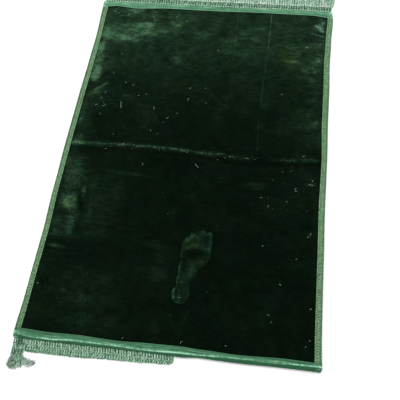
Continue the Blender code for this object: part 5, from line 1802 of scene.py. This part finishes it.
# Where finer fibres gather: x, y, half length, half width (mm), how many.
DUST_PLACES = (
    (-160, 4, 220, 10, 60), (120, -6, 90, 9, 16), (290, 0, 80, 12, 14), (-320, 170, 40, 44, 46),
    (-120, 495, 44, 34, 22), (300, -110, 70, 90, 22), (18, -458, 14, 12, 9),
    (356, 400, 24, 150, 26), (-350, -200, 30, 110, 26), (0, 0, 370, 560, 40),
)
DUST_RADIUS = 0.17 * MM
DUST_EDGES = (-372.0, 370.0)  # mm, x within which it lies
DUST_LENGTH, DUST_CURL = (1.2, 3.4), 0.9  # mm, radians for each sixth of the length
FIBRE_CURL, CURL_LENGTH = 0.8, 4.0  # the most it curls; longer ones than this (mm) curl less
FIBRE_SHADES, DUST_SHADES = (0.6, 0.95), (0.05, 0.75)
LINT_CLOUD_SCALE, LINT_GRAIN_SCALE, LINT_UNEVEN = 400.0, 2500.0, 0.6
LINT_COLOURS = (
    (0.0, (0.060, 0.130, 0.080)), (0.5, (0.200, 0.320, 0.230)), (1.0, (0.500, 0.620, 0.510)),
)


def pile_top(x, y):
    """Height of the top of the pile."""
    return underside(x, y) + PILE_HEIGHT + pile_relief(x, y)


def curled_fibre(rng, x, y, length, turn, curl):
    """Path (m) of a short fibre that lies on the pile, from its middle and length (mm)."""
    points = [np.zeros(2)]
    angle = math.radians(turn)
    for _ in range(6):
        points.append(points[-1] + length / 6 * np.array((math.cos(angle), math.sin(angle))))
        angle += rng.uniform(-curl, curl)
    points = (np.array(points) - points[3] + np.array((x, y))) * MM
    height = pile_top(points[:, 0], points[:, 1]) + LINT_LIFT
    return np.concatenate([points, height[:, None]], 1)


lint_finish, tree, lint_shader = new_finish("lint", Roughness=0.8, Specular_IOR_Level=0.1)
cloud, grain = uneven_cloth(tree, LINT_CLOUD_SCALE, LINT_GRAIN_SCALE)
shade = add_up(tree, attribute(tree, "shade"), (cloud, LINT_UNEVEN), (grain, LINT_UNEVEN))
dress(tree, lint_shader, graded(tree, shade, LINT_COLOURS), grain, 0.4, 0.1 * MM)

rng = np.random.default_rng(13)
fibres = np.array([curled_fibre(rng, *fibre, min(FIBRE_CURL, CURL_LENGTH / fibre[2]))
                   for fibre in LINT_FIBRES])
dust = []
for middle_x, middle_y, reach_x, reach_y, count in DUST_PLACES:
    for _ in range(count):
        angle, away = rng.uniform(0.0, 2 * math.pi), math.sqrt(rng.uniform(0.0, 1.0))
        x = float(np.clip(middle_x + reach_x * away * math.cos(angle), *DUST_EDGES))
        y = middle_y + reach_y * away * math.sin(angle)
        length, turn = rng.uniform(*DUST_LENGTH), rng.uniform(0, 180)
        dust.append(curled_fibre(rng, x, y, length, turn, DUST_CURL))
lint_mesh = yarn_mesh("lint", [
    (fibres, LINT_RADIUS, 5, rng.uniform(*FIBRE_SHADES, len(fibres)), 0.0),
    (np.array(dust), DUST_RADIUS, 4, rng.uniform(*DUST_SHADES, len(dust)), 0.0)])
lint = add_piece("lint", lint_mesh, [lint_finish], "fringe_yarn")
